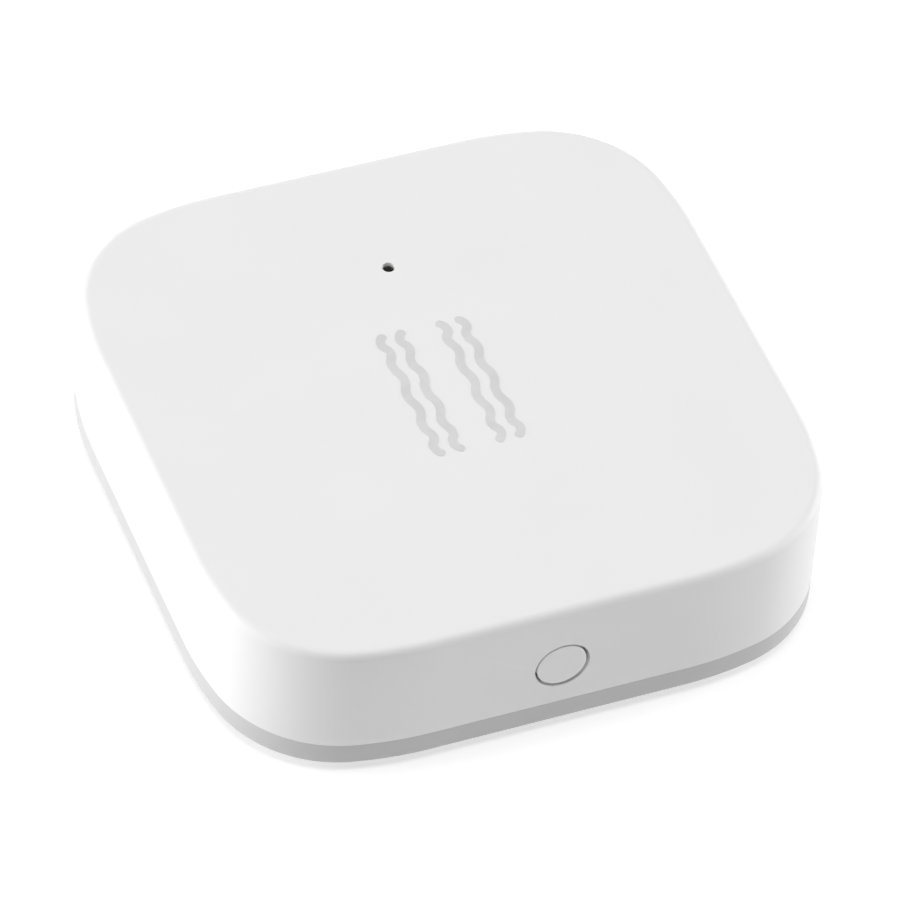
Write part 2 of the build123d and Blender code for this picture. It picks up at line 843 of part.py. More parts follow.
def make_cell_cap():
    """Negative cap: an inverted cup inside the gasket."""
    radius = cap_radius
    foot = can_wall + cap_skirt_gap
    points = [
        (0, cell_height), (radius, cell_height), (radius, foot), (radius - can_wall, foot),
        (radius - can_wall, cell_height - can_wall), (0, cell_height - can_wall),
    ]
    cap = turned(points)
    return fillet(cap.edges().group_by(Axis.Z)[-1], cap_edge_radius)


def make_cell_gasket():
    """Sealing ring between can and cap, with a foot under the cap's skirt."""
    rim = cell_height - crimp_drop
    inner = can_inner_radius
    lip = cell_radius - crimp_reach - gasket_lip_gap
    points = [
        (cap_radius - can_wall, can_wall), (inner, can_wall), (inner, rim - can_edge_radius - can_wall / 2),
        (lip, rim - can_wall), (lip, rim), (cap_radius, rim),
        (cap_radius, can_wall + cap_skirt_gap), (cap_radius - can_wall, can_wall + cap_skirt_gap),
    ]
    return turned(points)


def make_cathode_disc():
    """Pressed cathode on the can's floor."""
    seat = cell_level + can_wall
    return disc(electrode_radius, 0, cell_place, seat, seat + cathode_thickness)


def make_lithium_disc():
    """Lithium disc between the cathode and the cap."""
    seat = cell_level + can_wall + cathode_thickness
    return disc(electrode_radius, 0, cell_place, seat, cell_top_level - can_wall)


def all_nodes():
    """Every piece by its node name."""
    return {
        "base_cover": make_base_cover(),
        "adhesive_pad": make_adhesive_pad(),
        "cell_cushion": make_cell_cushion(),
        "top_housing": make_top_housing(),
        "vibration_icon": make_vibration_icon(),
        "light_pipe": make_light_pipe(),
        "main_board": make_main_board(),
        "radio_chip": package(radio_chip_side, radio_chip_side, radio_chip_height, radio_chip_place_shares),
        "memory_chip": package(
            memory_chip_length, memory_chip_width, memory_chip_height, memory_chip_place_shares
        ),
        "accelerometer": package(
            accelerometer_side, accelerometer_side, accelerometer_height, accelerometer_place_shares
        ),
        "radio_crystal": crystal(
            radio_crystal_length, radio_crystal_width, radio_crystal_height, radio_crystal_place_shares
        ),
        "clock_crystal": crystal(
            clock_crystal_length, clock_crystal_width, clock_crystal_height, clock_crystal_place_shares
        ),
        "power_inductor": make_power_inductor(),
        "bulk_capacitor": package(
            bulk_capacitor_length, bulk_capacitor_width, bulk_capacitor_height, bulk_capacitor_place_shares
        ),
        "chip_leads": make_chip_leads(),
        "chip_capacitors": chip_bodies(capacitor_row_shares, capacitor_row_counts, capacitor_height),
        "chip_resistors": chip_bodies(resistor_row_shares, resistor_row_counts, resistor_height),
        "chip_terminals": make_chip_terminals(),
        "antenna_trace": make_antenna_trace(),
        "status_led": make_status_led(),
        "test_pads": make_test_pads(),
        "board_screws": make_board_screws(),
        "switch_body": make_switch_body(),
        "switch_cover": make_switch_cover(),
        "switch_dome": make_switch_dome(),
        "switch_plunger": make_switch_plunger(),
        "button_cap": make_button_cap(),
        "battery_holder": make_battery_holder(),
        "positive_contact": make_positive_contact(),
        "negative_contact": make_negative_contact(),
        "cell_can": make_cell_can(),
        "cell_cap": make_cell_cap(),
        "cell_gasket": make_cell_gasket(),
        "cathode_disc": make_cathode_disc(),
        "lithium_disc": make_lithium_disc(),
    }


os.makedirs("parts", exist_ok=True)
for name, shape in all_nodes().items():
    export_step(shape, f"parts/{name}.step")
    print(name, round(shape.volume, 3))
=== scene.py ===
import logging
import math
from dataclasses import dataclass
from enum import Enum
from typing import Iterable, Sequence

import bmesh
import bpy
from mathutils import Matrix, Vector


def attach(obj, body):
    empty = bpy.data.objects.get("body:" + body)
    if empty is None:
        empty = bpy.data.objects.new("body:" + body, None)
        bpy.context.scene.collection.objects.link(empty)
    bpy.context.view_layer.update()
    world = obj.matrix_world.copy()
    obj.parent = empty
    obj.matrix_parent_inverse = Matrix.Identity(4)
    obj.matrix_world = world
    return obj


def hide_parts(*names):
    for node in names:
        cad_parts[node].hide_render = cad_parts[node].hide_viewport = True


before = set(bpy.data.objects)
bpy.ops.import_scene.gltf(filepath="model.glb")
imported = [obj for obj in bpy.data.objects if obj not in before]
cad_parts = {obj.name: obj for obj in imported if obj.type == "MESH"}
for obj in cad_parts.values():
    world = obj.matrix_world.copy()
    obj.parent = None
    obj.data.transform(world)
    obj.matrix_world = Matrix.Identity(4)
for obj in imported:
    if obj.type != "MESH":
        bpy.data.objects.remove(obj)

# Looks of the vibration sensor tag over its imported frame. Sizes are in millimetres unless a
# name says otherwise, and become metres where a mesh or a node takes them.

LOG = logging.getLogger("sensor_tag")
Point = tuple[float, float, float]
Pair = tuple[float, float]
Colour = tuple[float, float, float]
MM = 0.001

# Y of the light hole and of the cell's middle, X and Y of the board's fixings, place of the hooks along
# each side, and the inset at which a swept face ends and is filled.
LIGHT_PLACE = 9.35
CELL_PLACE = 1.6
FIXING_PLACE = 12.6
HOOK_PLACE = 5.6
MIDDLE_INSET = 7.0

# Flats round large and small turned forms, the two hands and the four sides.
SMOOTH_STEPS = 96
ROUND_STEPS = 40
HANDS = (-1, 1)
QUARTERS = (0.0, 90.0, 180.0, 270.0)
SQUARE = ((-1, -1), (1, -1), (1, 1), (-1, 1))

# Angles between faces: flat enough to merge, sharp enough to round, and smooth to the eye.
FLAT_BELOW = math.radians(1.0)
ROUNDED_ABOVE = math.radians(30.0)
SMOOTH_BELOW = math.radians(32.0)
TO_FRONT = Matrix.Rotation(math.radians(-90), 4, "X")


class Body(Enum):
    """Rigid bodies of the frame."""

    BASE = "base"
    HOUSING = "housing"
    BUTTON = "button"
    PLUNGER = "plunger"
    BATTERY = "battery"


class Noise(Enum):
    """Kinds of surface grain."""

    SOFT = "ShaderNodeTexNoise"
    CELLS = "ShaderNodeTexVoronoi"


def linked(title: str, data: bpy.types.ID) -> bpy.types.Object:
    """Put a mesh, a light or a camera in the scene.

    Args:
        title: the object's name.
        data: what it shows.

    Returns:
        The object.
    """
    made = bpy.data.objects.new(title, data)
    bpy.context.scene.collection.objects.link(made)
    return made


class Value:
    """A node's output socket that takes part in arithmetic and adds Math nodes as it does."""

    def __init__(self, sheet: "Sheet", socket: bpy.types.NodeSocket) -> None:
        """Keep the sheet the nodes go on and the socket itself."""
        self.sheet = sheet
        self.socket = socket

    def __add__(self, other: "Value | float") -> "Value":
        """Sum."""
        return self.sheet.math("ADD", self, other)

    __radd__ = __add__

    def __sub__(self, other: "Value | float") -> "Value":
        """Difference."""
        return self.sheet.math("SUBTRACT", self, other)

    def __rsub__(self, other: float) -> "Value":
        """Difference with a number on the left."""
        return self.sheet.math("SUBTRACT", other, self)

    def __mul__(self, other: "Value | float") -> "Value":
        """Product."""
        return self.sheet.math("MULTIPLY", self, other)

    __rmul__ = __mul__

    def __truediv__(self, other: "Value | float") -> "Value":
        """Quotient."""
        return self.sheet.math("DIVIDE", self, other)

    def __rtruediv__(self, other: float) -> "Value":
        """Quotient with a number on the left."""
        return self.sheet.math("DIVIDE", other, self)

    def __mod__(self, other: "Value | float") -> "Value":
        """Remainder, always positive."""
        return self.sheet.math("FLOORED_MODULO", self, other)

    def __abs__(self) -> "Value":
        """Size without sign."""
        return self.sheet.math("ABSOLUTE", self)

    def __lt__(self, other: "Value | float") -> "Value":
        """1 where smaller, else 0."""
        return self.sheet.math("LESS_THAN", self, other)

    def __gt__(self, other: "Value | float") -> "Value":
        """1 where larger, else 0."""
        return self.sheet.math("GREATER_THAN", self, other)

    def apply(self, operation: str) -> "Value":
        """One-term Math operation, such as FLOOR or COSINE."""
        return self.sheet.math(operation, self)


class Sheet:
    """A node tree that is filled from Python."""

    def __init__(self, tree: bpy.types.NodeTree) -> None:
        """Keep the tree."""
        self.tree = tree

    def node(self, kind: str, settings: dict | None = None, sockets: dict | None = None) -> bpy.types.Node:
        """Add one node.

        Args:
            kind: the node's type name.
            settings: properties set first.
            sockets: values or links by input name or index.

        Returns:
            The new node.
        """
        made = self.tree.nodes.new(kind)
        for name, value in (settings or {}).items():
            setattr(made, name, value)
        for name, value in (sockets or {}).items():
            self.join(value, made.inputs[name])
        return made

    def join(self, value: object, socket: bpy.types.NodeSocket) -> None:
        """Link a Value to a socket, or set the socket's own value.

        Args:
            value: a Value or a constant.
            socket: the input.
        """
        if isinstance(value, Value):
            self.tree.links.new(value.socket, socket)
        else:
            socket.default_value = value

    def value(
        self, kind: str, settings: dict | None = None, sockets: dict | None = None, output: int | str = 0
    ) -> Value:
        """Add one node and return one of its outputs.

        Args:
            kind: the node's type name.
            settings: properties set first.
            sockets: values or links of its inputs.
            output: name or index of the output.

        Returns:
            The output as a Value.
        """
        return Value(self, self.node(kind, settings, sockets).outputs[output])

    def math(self, operation: str, *terms: "Value | float") -> Value:
        """Math node on up to three terms."""
        return self.value("ShaderNodeMath", {"operation": operation}, dict(enumerate(terms)))

    def vector(self, operation: str, *terms: object) -> Value:
        """Vector Math node on up to three terms."""
        return self.value("ShaderNodeVectorMath", {"operation": operation}, dict(enumerate(terms)))

    def scaled(self, vector: Value, factor: "Value | float") -> Value:
        """Vector times a number."""
        return self.value("ShaderNodeVectorMath", {"operation": "SCALE"}, {0: vector, "Scale": factor})

    def split(self, vector: Value) -> tuple[Value, Value, Value]:
        """The three parts of a vector."""
        outputs = self.node("ShaderNodeSeparateXYZ", sockets={0: vector}).outputs
        return tuple(Value(self, socket) for socket in outputs)

    def combine(self, x: object, y: object, z: object) -> Value:
        """A vector of three parts."""
        return self.value("ShaderNodeCombineXYZ", sockets={0: x, 1: y, 2: z})

    def choose(self, mask: Value, when_zero: "Value | float", when_one: "Value | float") -> Value:
        """Blend of two values by a mask from 0 to 1."""
        return self.value("ShaderNodeMix", {"data_type": "FLOAT"}, {0: mask, 2: when_zero, 3: when_one})


class Skin(Sheet):
    """Shader nodes of one finish, in millimetres on the piece."""

    @property
    def place(self) -> Value:
        """Place on the piece in millimetres."""
        coordinates = self.value("ShaderNodeTexCoord", output="Object")
        return self.scaled(coordinates, 1.0 / MM)

    def grain(self, place: Value, period: float, kind: Noise = Noise.SOFT, detail: float = 2.0) -> Value:
        """Grain of one period.

        Args:
            place: the place in millimetres.
            period: the grain's size in millimetres.
            kind: soft noise or cells.
            detail: octaves of the soft noise.

        Returns:
            A value from 0 to 1, or the distance to a cell's middle.
        """
        sockets = {"Vector": place, "Scale": 1.0 / period}
        if kind is Noise.SOFT:
            sockets["Detail"] = detail
        return self.value(kind.value, sockets=sockets, output=0)

    def blend(self, mask: "Value | float", first: object, second: object) -> Value:
        """Colour between two colours by a mask.

        Args:
            mask: 0 for the first and 1 for the second.
            first: a Value or a constant.
            second: a Value or a constant.

        Returns:
            The colour.
        """
        colours = [c if isinstance(c, Value) else (*c, 1.0) for c in (first, second)]
        return self.value(
            "ShaderNodeMix", {"data_type": "RGBA"}, {0: mask, 6: colours[0], 7: colours[1]}, output=2
        )

    def step(self, value: Value, low: float, high: float) -> Value:
        """Smooth step of a value.

        Args:
            value: what is stepped.
            low: where the step is 0.
            high: where it is 1.

        Returns:
            The step.
        """
        return self.value(
            "ShaderNodeMapRange",
            {"interpolation_type": "SMOOTHSTEP"},
            {"Value": value, "From Min": low, "From Max": high},
        )

    def bump(self, height: Value, depth: float, below: Value | None = None) -> Value:
        """Normal raised by a height from 0 to 1.

        Args:
            height: the height map.
            depth: what 1 stands for, in millimetres.
            below: normal of a coarser bump under it.

        Returns:
            The normal.
        """
        sockets = {"Height": height, "Distance": depth * MM}
        if below is not None:
            sockets["Normal"] = below
        return self.value("ShaderNodeBump", sockets=sockets)


@dataclass
class Coat:
    """What a finish paints: each item is a Value or a constant."""

    base: object
    roughness: object
    normal: Value | None = None
    metallic: object = 0.0


@dataclass(frozen=True)
class Finish:
    """A surface finish, made into one material on first use."""

    title: str
    colour: Colour
    roughness: float

    def paint(self, skin: Skin) -> Coat:
        """Paint the finish on a skin of nodes."""
        raise NotImplementedError

    def constants(self) -> dict[str, float]:
        """Principled sockets that are the same all over."""
        return {}

    def toned(self, tone: float, lift: float = 0.0) -> Colour:
        """The colour times a tone, plus a lift."""
        return tuple(min(1.0, part * tone + lift) for part in self.colour)

    def material(self) -> bpy.types.Material:
        """The finish's material, built once.

        Returns:
            The material.
        """
        ready = bpy.data.materials.get(self.title)
        if ready is not None:
            return ready
        made = bpy.data.materials.new(self.title)
        made.use_nodes = True
        made.diffuse_color = (*self.colour, 1.0)
        shader = made.node_tree.nodes["Principled BSDF"]
        skin = Skin(made.node_tree)
        coat = self.paint(skin)
        base = coat.base if isinstance(coat.base, Value) else (*coat.base, 1.0)
        skin.join(base, shader.inputs["Base Color"])
        skin.join(coat.roughness, shader.inputs["Roughness"])
        skin.join(coat.metallic, shader.inputs["Metallic"])
        if coat.normal is not None:
            skin.join(coat.normal, shader.inputs["Normal"])
        for name, value in self.constants().items():
            shader.inputs[name].default_value = value
        return made


@dataclass(frozen=True)
class MouldedPlastic(Finish):
    """Spark-eroded moulded plastic: fine grain, faint flow clouds and a few dust specks."""

    grain_size: float = 0.09
    grain_depth: float = 0.0035
    wave_size: float = 7.0
    wave_depth: float = 0.006
    speck_size: float = 0.9
    speck_tone: float = 0.9
    cloud_tone: float = 0.985
    sheen: float = 0.5

    def paint(self, skin: Skin) -> Coat:
        """Cloud the colour, then add specks, and lift a fine grain over a slow wave.

        Args:
            skin: the nodes to paint on.

        Returns:
            The coat.
        """
        place = skin.place
        cloud = skin.grain(place, self.wave_size, detail=3.0)
        grain = skin.grain(place, self.grain_size, detail=3.0)
        wave = skin.grain(place, self.wave_size * 1.7, detail=1.0)
        speck = 1.0 - skin.step(skin.grain(place, self.speck_size, Noise.CELLS), 0.02, 0.07)
        rare = skin.step(skin.grain(place, self.speck_size * 3.1, detail=0.0), 0.66, 0.70)
        clouded = skin.blend(skin.step(cloud, 0.3, 0.7), self.colour, self.toned(self.cloud_tone))
        base = skin.blend(speck * rare * 0.5, clouded, self.toned(self.speck_tone))
        roughness = self.roughness + (grain - 0.5) * 0.14 + (cloud - 0.5) * 0.06
        normal = skin.bump(grain, self.grain_depth, skin.bump(wave, self.wave_depth))
        return Coat(base, roughness, normal)

    def constants(self) -> dict[str, float]:
        """A plain plastic gloss."""
        return {"Specular IOR Level": self.sheen}


@dataclass(frozen=True)
class PrintedInk(Finish):
    """Pad-printed ink: even tone with pinholes, a mesh of fine dots and soft mottling."""

    hole_size: float = 0.22
    mottle_size: float = 0.8

    def paint(self, skin: Skin) -> Coat:
        """Mottle the ink, open pinholes and raise the screen's dots.

        Args:
            skin: the nodes to paint on.

        Returns:
            The coat.
        """
        place = skin.place
        mottle = skin.grain(place, self.mottle_size, detail=3.0)
        dots = skin.grain(place, self.hole_size, Noise.CELLS)
        pinhole = (1.0 - skin.step(dots, 0.04, 0.1)) * skin.step(mottle, 0.56, 0.62)
        base = skin.blend(skin.step(mottle, 0.35, 0.65), self.colour, self.toned(1.05))
        base = skin.blend(pinhole * 0.5, base, (0.83, 0.83, 0.83))
        return Coat(base, self.roughness + (mottle - 0.5) * 0.1, skin.bump(dots, 0.002))


@dataclass(frozen=True)
class Foam(Finish):
    """Closed-cell foam tape: open cut cells on the sides and glossy glue on the faces."""

    cell_size: float = 0.16
    cell_depth: float = 0.05
    glue_gloss: float = 0.25

    def paint(self, skin: Skin) -> Coat:
        """Cells on the cut sides, film where the surface faces up or down.

        Args:
            skin: the nodes to paint on.

        Returns:
            The coat.
        """
        place = skin.place
        cells = skin.grain(place, self.cell_size, Noise.CELLS)
        fine = skin.grain(place, self.cell_size * 0.3, detail=2.0)
        normal_z = skin.split(skin.value("ShaderNodeNewGeometry", output="Normal"))[2]
        film = skin.step(abs(normal_z), 0.6, 0.9)
        base = skin.blend(skin.step(cells, 0.1, 0.5) * (1.0 - film), self.colour, self.toned(0.72))
        roughness = skin.choose(film, self.roughness, self.glue_gloss) + (fine - 0.5) * 0.1
        height = cells * (1.0 - film * 0.85) + fine * 0.3
        return Coat(base, roughness, skin.bump(height, self.cell_depth))


@dataclass(frozen=True)
class SheetMetal(Finish):
    """Plated or stainless sheet: rolled streaks, fine scratches and a hint of handling marks."""

    streak_axis: int = 0
    streak_size: float = 0.05
    streak_depth: float = 0.002
    tarnish: float = 0.12

    def paint(self, skin: Skin) -> Coat:
        """Stretch a fine noise along one axis and cloud the roughness.

        Args:
            skin: the nodes to paint on.

        Returns:
            The coat.
        """
        stretch = [1.0, 1.0, 1.0]
        stretch[self.streak_axis] = 0.05
        place = skin.vector("MULTIPLY", skin.place, tuple(stretch))
        streak = skin.grain(place, self.streak_size, detail=3.0)
        cloud = skin.grain(skin.place, 2.4, detail=4.0)
        base = skin.blend(skin.step(cloud, 0.35, 0.7), self.colour, self.toned(1.0 - self.tarnish))
        roughness = self.roughness + (streak - 0.5) * 0.2 + (cloud - 0.5) * 0.16
        return Coat(base, roughness, skin.bump(streak, self.streak_depth), 1.0)


@dataclass(frozen=True)
class CellSteel(Finish):
    """Stainless shell of the coin cell: turned rings, handling scratches and a pressed plus sign."""

    middle: Pair = (0.0, CELL_PLACE)
    sign_half: float = 1.7
    sign_width: float = 0.3
    ring_pitch: float = 1.0 / 9.0

    def paint(self, skin: Skin) -> Coat:
        """Rings about the cell's middle, with a plus sign pressed into the outer face.

        Args:
            skin: the nodes to paint on.

        Returns:
            The coat.
        """
        x, y, _ = skin.split(skin.place)
        across, along = x - self.middle[0], y - self.middle[1]
        reach = (across * across + along * along).apply("SQRT")
        turned = skin.grain(skin.combine(reach, 0.0, 0.0), self.ring_pitch)
        scratch_place = skin.vector("MULTIPLY", skin.place, (1.0, 0.06, 1.0))
        scratch = skin.step(skin.grain(scratch_place, 0.14, detail=1.0), 0.7, 0.76)
        bar = self._inside(skin, along, self.sign_width) * self._inside(skin, across, self.sign_half)
        post = self._inside(skin, across, self.sign_width) * self._inside(skin, along, self.sign_half)
        sign = skin.math("MAXIMUM", bar, post)
        cloud = skin.grain(skin.place, 3.1, detail=4.0)
        base = skin.blend(skin.step(cloud, 0.35, 0.7), self.colour, self.toned(0.86))
        base = skin.blend(sign * 0.55, base, self.toned(0.5))
        roughness = self.roughness + (turned - 0.5) * 0.22 + scratch * 0.12 + sign * 0.2
        normal = skin.bump(turned, 0.003, skin.bump(1.0 - sign, 0.05))
        return Coat(base, roughness, skin.bump(scratch, 0.002, normal), 1.0)

    @staticmethod
    def _inside(skin: Skin, value: Value, half: float) -> Value:
        """1 inside a band of one half width, with soft edges."""
        return 1.0 - skin.step(abs(value), half - 0.04, half + 0.04)


@dataclass(frozen=True)
class SolderMask(Finish):
    """Solder mask over copper and glass cloth: even lacquer with the weave faint under it."""

    weave_pitch: float = 0.42
    weave_depth: float = 0.004

    def paint(self, skin: Skin) -> Coat:
        """Weave of the glass cloth, lacquer pooled in soft clouds and fine dust.

        Args:
            skin: the nodes to paint on.

        Returns:
            The coat.
        """
        place = skin.place
        x, y, _ = skin.split(place)
        turn = math.tau / self.weave_pitch
        weave = (x * turn).apply("SINE") * (y * turn).apply("SINE") * 0.5 + 0.5
        cloud = skin.grain(place, 2.6, detail=3.0)
        fine = skin.grain(place, 0.2, detail=3.0)
        pooled = weave * 0.35 + skin.step(cloud, 0.3, 0.7) * 0.4
        base = skin.blend(pooled, self.colour, self.toned(1.25, 0.002))
        roughness = self.roughness + (fine - 0.5) * 0.12 + (cloud - 0.5) * 0.08
        return Coat(base, roughness, skin.bump(weave * 0.6 + fine * 0.4, self.weave_depth))

    def constants(self) -> dict[str, float]:
        """A thin lacquer over the board."""
        return {"Coat Weight": 0.35, "Coat Roughness": 0.18}


@dataclass(frozen=True)
class Compound(Finish):
    """Moulding compound or fired ceramic: even tone with filler grains."""

    grain_size: float = 0.07
    grain_depth: float = 0.006
    speckle: float = 0.25

    def paint(self, skin: Skin) -> Coat:
        """Filler grains in tone, gloss and height.

        Args:
            skin: the nodes to paint on.

        Returns:
            The coat.
        """
        place = skin.place
        grain = skin.grain(place, self.grain_size, detail=3.0)
        cloud = skin.grain(place, self.grain_size * 12.0, detail=2.0)
        base = skin.blend(skin.step(grain, 0.4, 0.7), self.colour, self.toned(1.0 + self.speckle, 0.01))
        roughness = self.roughness + (grain - 0.5) * 0.16 + (cloud - 0.5) * 0.08
        return Coat(base, roughness, skin.bump(grain, self.grain_depth))


@dataclass(frozen=True)
class SmokedClear(Finish):
    """Smoked clear plastic of the light pipe, with a moulding swirl."""

    swirl_size: float = 0.3

    def paint(self, skin: Skin) -> Coat:
        """Swirl the tint and the gloss slightly.

        Args:
            skin: the nodes to paint on.

        Returns:
            The coat.
        """
        swirl = skin.grain(skin.place, self.swirl_size, detail=3.0)
        base = skin.blend(swirl, self.colour, self.toned(0.8))
        return Coat(base, self.roughness + (swirl - 0.5) * 0.08, skin.bump(swirl, 0.004))

    def constants(self) -> dict[str, float]:
        """Let part of the light through."""
        return {"Transmission Weight": 0.55, "IOR": 1.49}


class Finishes:
    """Every finish on the sensor, by what it covers."""

    SHELL = MouldedPlastic("shell_white", (0.86, 0.86, 0.86), 0.5, sheen=0.3)
    KEY = MouldedPlastic("key_white", (0.86, 0.86, 0.86), 0.48, sheen=0.3)
    BASE = MouldedPlastic("base_grey", (0.585, 0.585, 0.585), 0.46)
    INK = PrintedInk("ink_grey", (0.68, 0.682, 0.68), 0.42)
    PAD = Foam("pad_foam", (0.8, 0.8, 0.78), 0.8)
    CUSHION = Foam("cushion_foam", (0.03, 0.03, 0.032), 0.9)
    PIPE = SmokedClear("pipe_smoked", (0.06, 0.058, 0.055), 0.2)
    MASK = SolderMask("board_mask", (0.006, 0.085, 0.035), 0.3)
    TRACK = SolderMask("track_mask", (0.014, 0.16, 0.065), 0.28)
    LEGEND = PrintedInk("legend_white", (0.78, 0.79, 0.77), 0.5)
    BORE = Compound("via_bore", (0.02, 0.03, 0.02), 0.6)
    GOLD = SheetMetal("contact_gold", (0.9, 0.66, 0.3), 0.25, streak_size=0.09, tarnish=0.1)
    TIN = SheetMetal("tinned_ends", (0.75, 0.75, 0.74), 0.33, streak_size=0.12)
    STEEL = SheetMetal("spring_steel", (0.68, 0.67, 0.65), 0.24, streak_axis=0)
    SCREW = SheetMetal("screw_zinc", (0.6, 0.61, 0.62), 0.3, streak_axis=1)
    CAN = CellSteel("cell_can_steel", (0.72, 0.72, 0.71), 0.27)
    CAP = CellSteel("cell_cap_steel", (0.7, 0.7, 0.69), 0.3, sign_half=0.0, sign_width=0.0)
    GASKET = Compound("gasket_grey", (0.09, 0.09, 0.1), 0.5)
    EPOXY = Compound("package_black", (0.018, 0.018, 0.02), 0.5)
    FERRITE = Compound("coil_ferrite", (0.07, 0.07, 0.075), 0.55, grain_size=0.12)
    TANTALUM = Compound("capacitor_amber", (0.72, 0.36, 0.05), 0.45, speckle=0.1)
    CERAMIC = Compound("capacitor_tan", (0.34, 0.22, 0.13), 0.5)
    GLAZE = Compound("resistor_black", (0.02, 0.02, 0.024), 0.3)
    NYLON = Compound("nylon_black", (0.025, 0.025, 0.027), 0.48, grain_depth=0.008)
    PLUNGER = Compound("plunger_white", (0.74, 0.74, 0.72), 0.4, speckle=0.04)
    RESIN = Compound("light_resin", (0.82, 0.78, 0.55), 0.18, speckle=0.05)
    LID = SheetMetal("crystal_lid", (0.76, 0.74, 0.7), 0.3, streak_axis=1)
    CATHODE = Compound("cathode_black", (0.02, 0.02, 0.02), 0.85, grain_size=0.12, grain_depth=0.02)
    LITHIUM = SheetMetal("lithium_grey", (0.5, 0.5, 0.5), 0.5, tarnish=0.3)


@dataclass(frozen=True)
class PlanRule:
    """Rule of the rounded square: each corner is three tangent arcs."""

    half_side: float = 18.0
    side_radius: float = 21.0
    side_turn: float = 11.84
    tip_radius: float = 7.52
    steps: int = 49

    def centres(self) -> tuple[float, float, float]:
        """Where the arcs of a corner have their centres.

        Returns:
            Centre of a side arc, centre of the tip arc, and the straight run's end.
        """
        turn = math.radians(self.side_turn)
        soft = self.half_side - self.side_radius
        tight = soft + (self.side_radius - self.tip_radius) * math.cos(turn)
        return soft, tight, tight - (self.side_radius - self.tip_radius) * math.sin(turn)


@dataclass(frozen=True)
class Row:
    """One ring of a swept shell: how far in from the outline, how high, and a hole's radius or 0."""

    inset: float
    height: float
    hole: float = 0.0


def ring(height: float, hole: float) -> Row:
    """Row that is a round hole, or a ring about it."""
    return Row(0.0, height, hole)


def bend(centre: Pair, radius: float, start: float, end: float, steps: int) -> list[Row]:
    """Rows along an arc of the section.

    Args:
        centre: inset and height of the arc's centre.
        radius: the arc's radius.
        start: first angle in degrees, 0 towards the inside and 90 up.
        end: last angle in degrees.
        steps: stretches along the arc.

    Returns:
        One row per point.
    """
    return [Row(inset, height) for inset, height in arc_points(centre, radius, start, end, steps)]


class Recipe(Sheet):
    """A Geometry Nodes tree with named inputs, run once into a plain mesh."""

    def __init__(self, title: str, numbers: Sequence[str], count: str | None = None) -> None:
        """Start a tree.

        Args:
            title: the tree's name.
            numbers: names of its number inputs.
            count: name of its input for a whole number, if it has one.
        """
        super().__init__(bpy.data.node_groups.new(title, "GeometryNodeTree"))
        self.title = title
        face = self.tree.interface
        inputs = {"Geometry": "Geometry"} | dict.fromkeys(numbers, "Float")
        if count:
            inputs[count] = "Int"
        inputs["Material"] = "Material"
        for name, kind in inputs.items():
            face.new_socket(name, in_out="INPUT", socket_type=f"NodeSocket{kind}")
        face.new_socket("Geometry", in_out="OUTPUT", socket_type="NodeSocketGeometry")
        self.entry = self.tree.nodes.new("NodeGroupInput")

    def input(self, name: str) -> Value:
        """A named input of the tree."""
        return Value(self, self.entry.outputs[name])

    def close(self, geometry: Value) -> None:
        """End the tree in Realize Instances and Set Material.

        Args:
            geometry: what the tree has made.
        """
        real = self.value("GeometryNodeRealizeInstances", sockets={0: geometry})
        named = {"Geometry": real, "Material": self.input("Material")}
        dressed = self.value("GeometryNodeSetMaterial", sockets=named)
        exit_node = self.tree.nodes.new("NodeGroupOutput")
        self.join(dressed, exit_node.inputs[0])

    def run(self, seed: bpy.types.Mesh, sizes: dict[str, object]) -> bpy.types.Mesh:
        """Run the tree on a seed mesh.

        Args:
            seed: the mesh that the tree starts from.
            sizes: values of the named inputs.

        Returns:
            The finished mesh.
        """
        holder = linked(self.title, seed)
        modifier = holder.modifiers.new(self.title, "NODES")
        modifier.node_group = self.tree
        for item in self.tree.interface.items_tree:
            if item.in_out == "INPUT" and item.name in sizes:
                modifier[item.identifier] = sizes[item.name]
        evaluated = holder.evaluated_get(bpy.context.evaluated_depsgraph_get())
        mesh = bpy.data.meshes.new_from_object(evaluated)
        holder.modifiers.remove(modifier)
        bpy.data.objects.remove(holder)
        return mesh


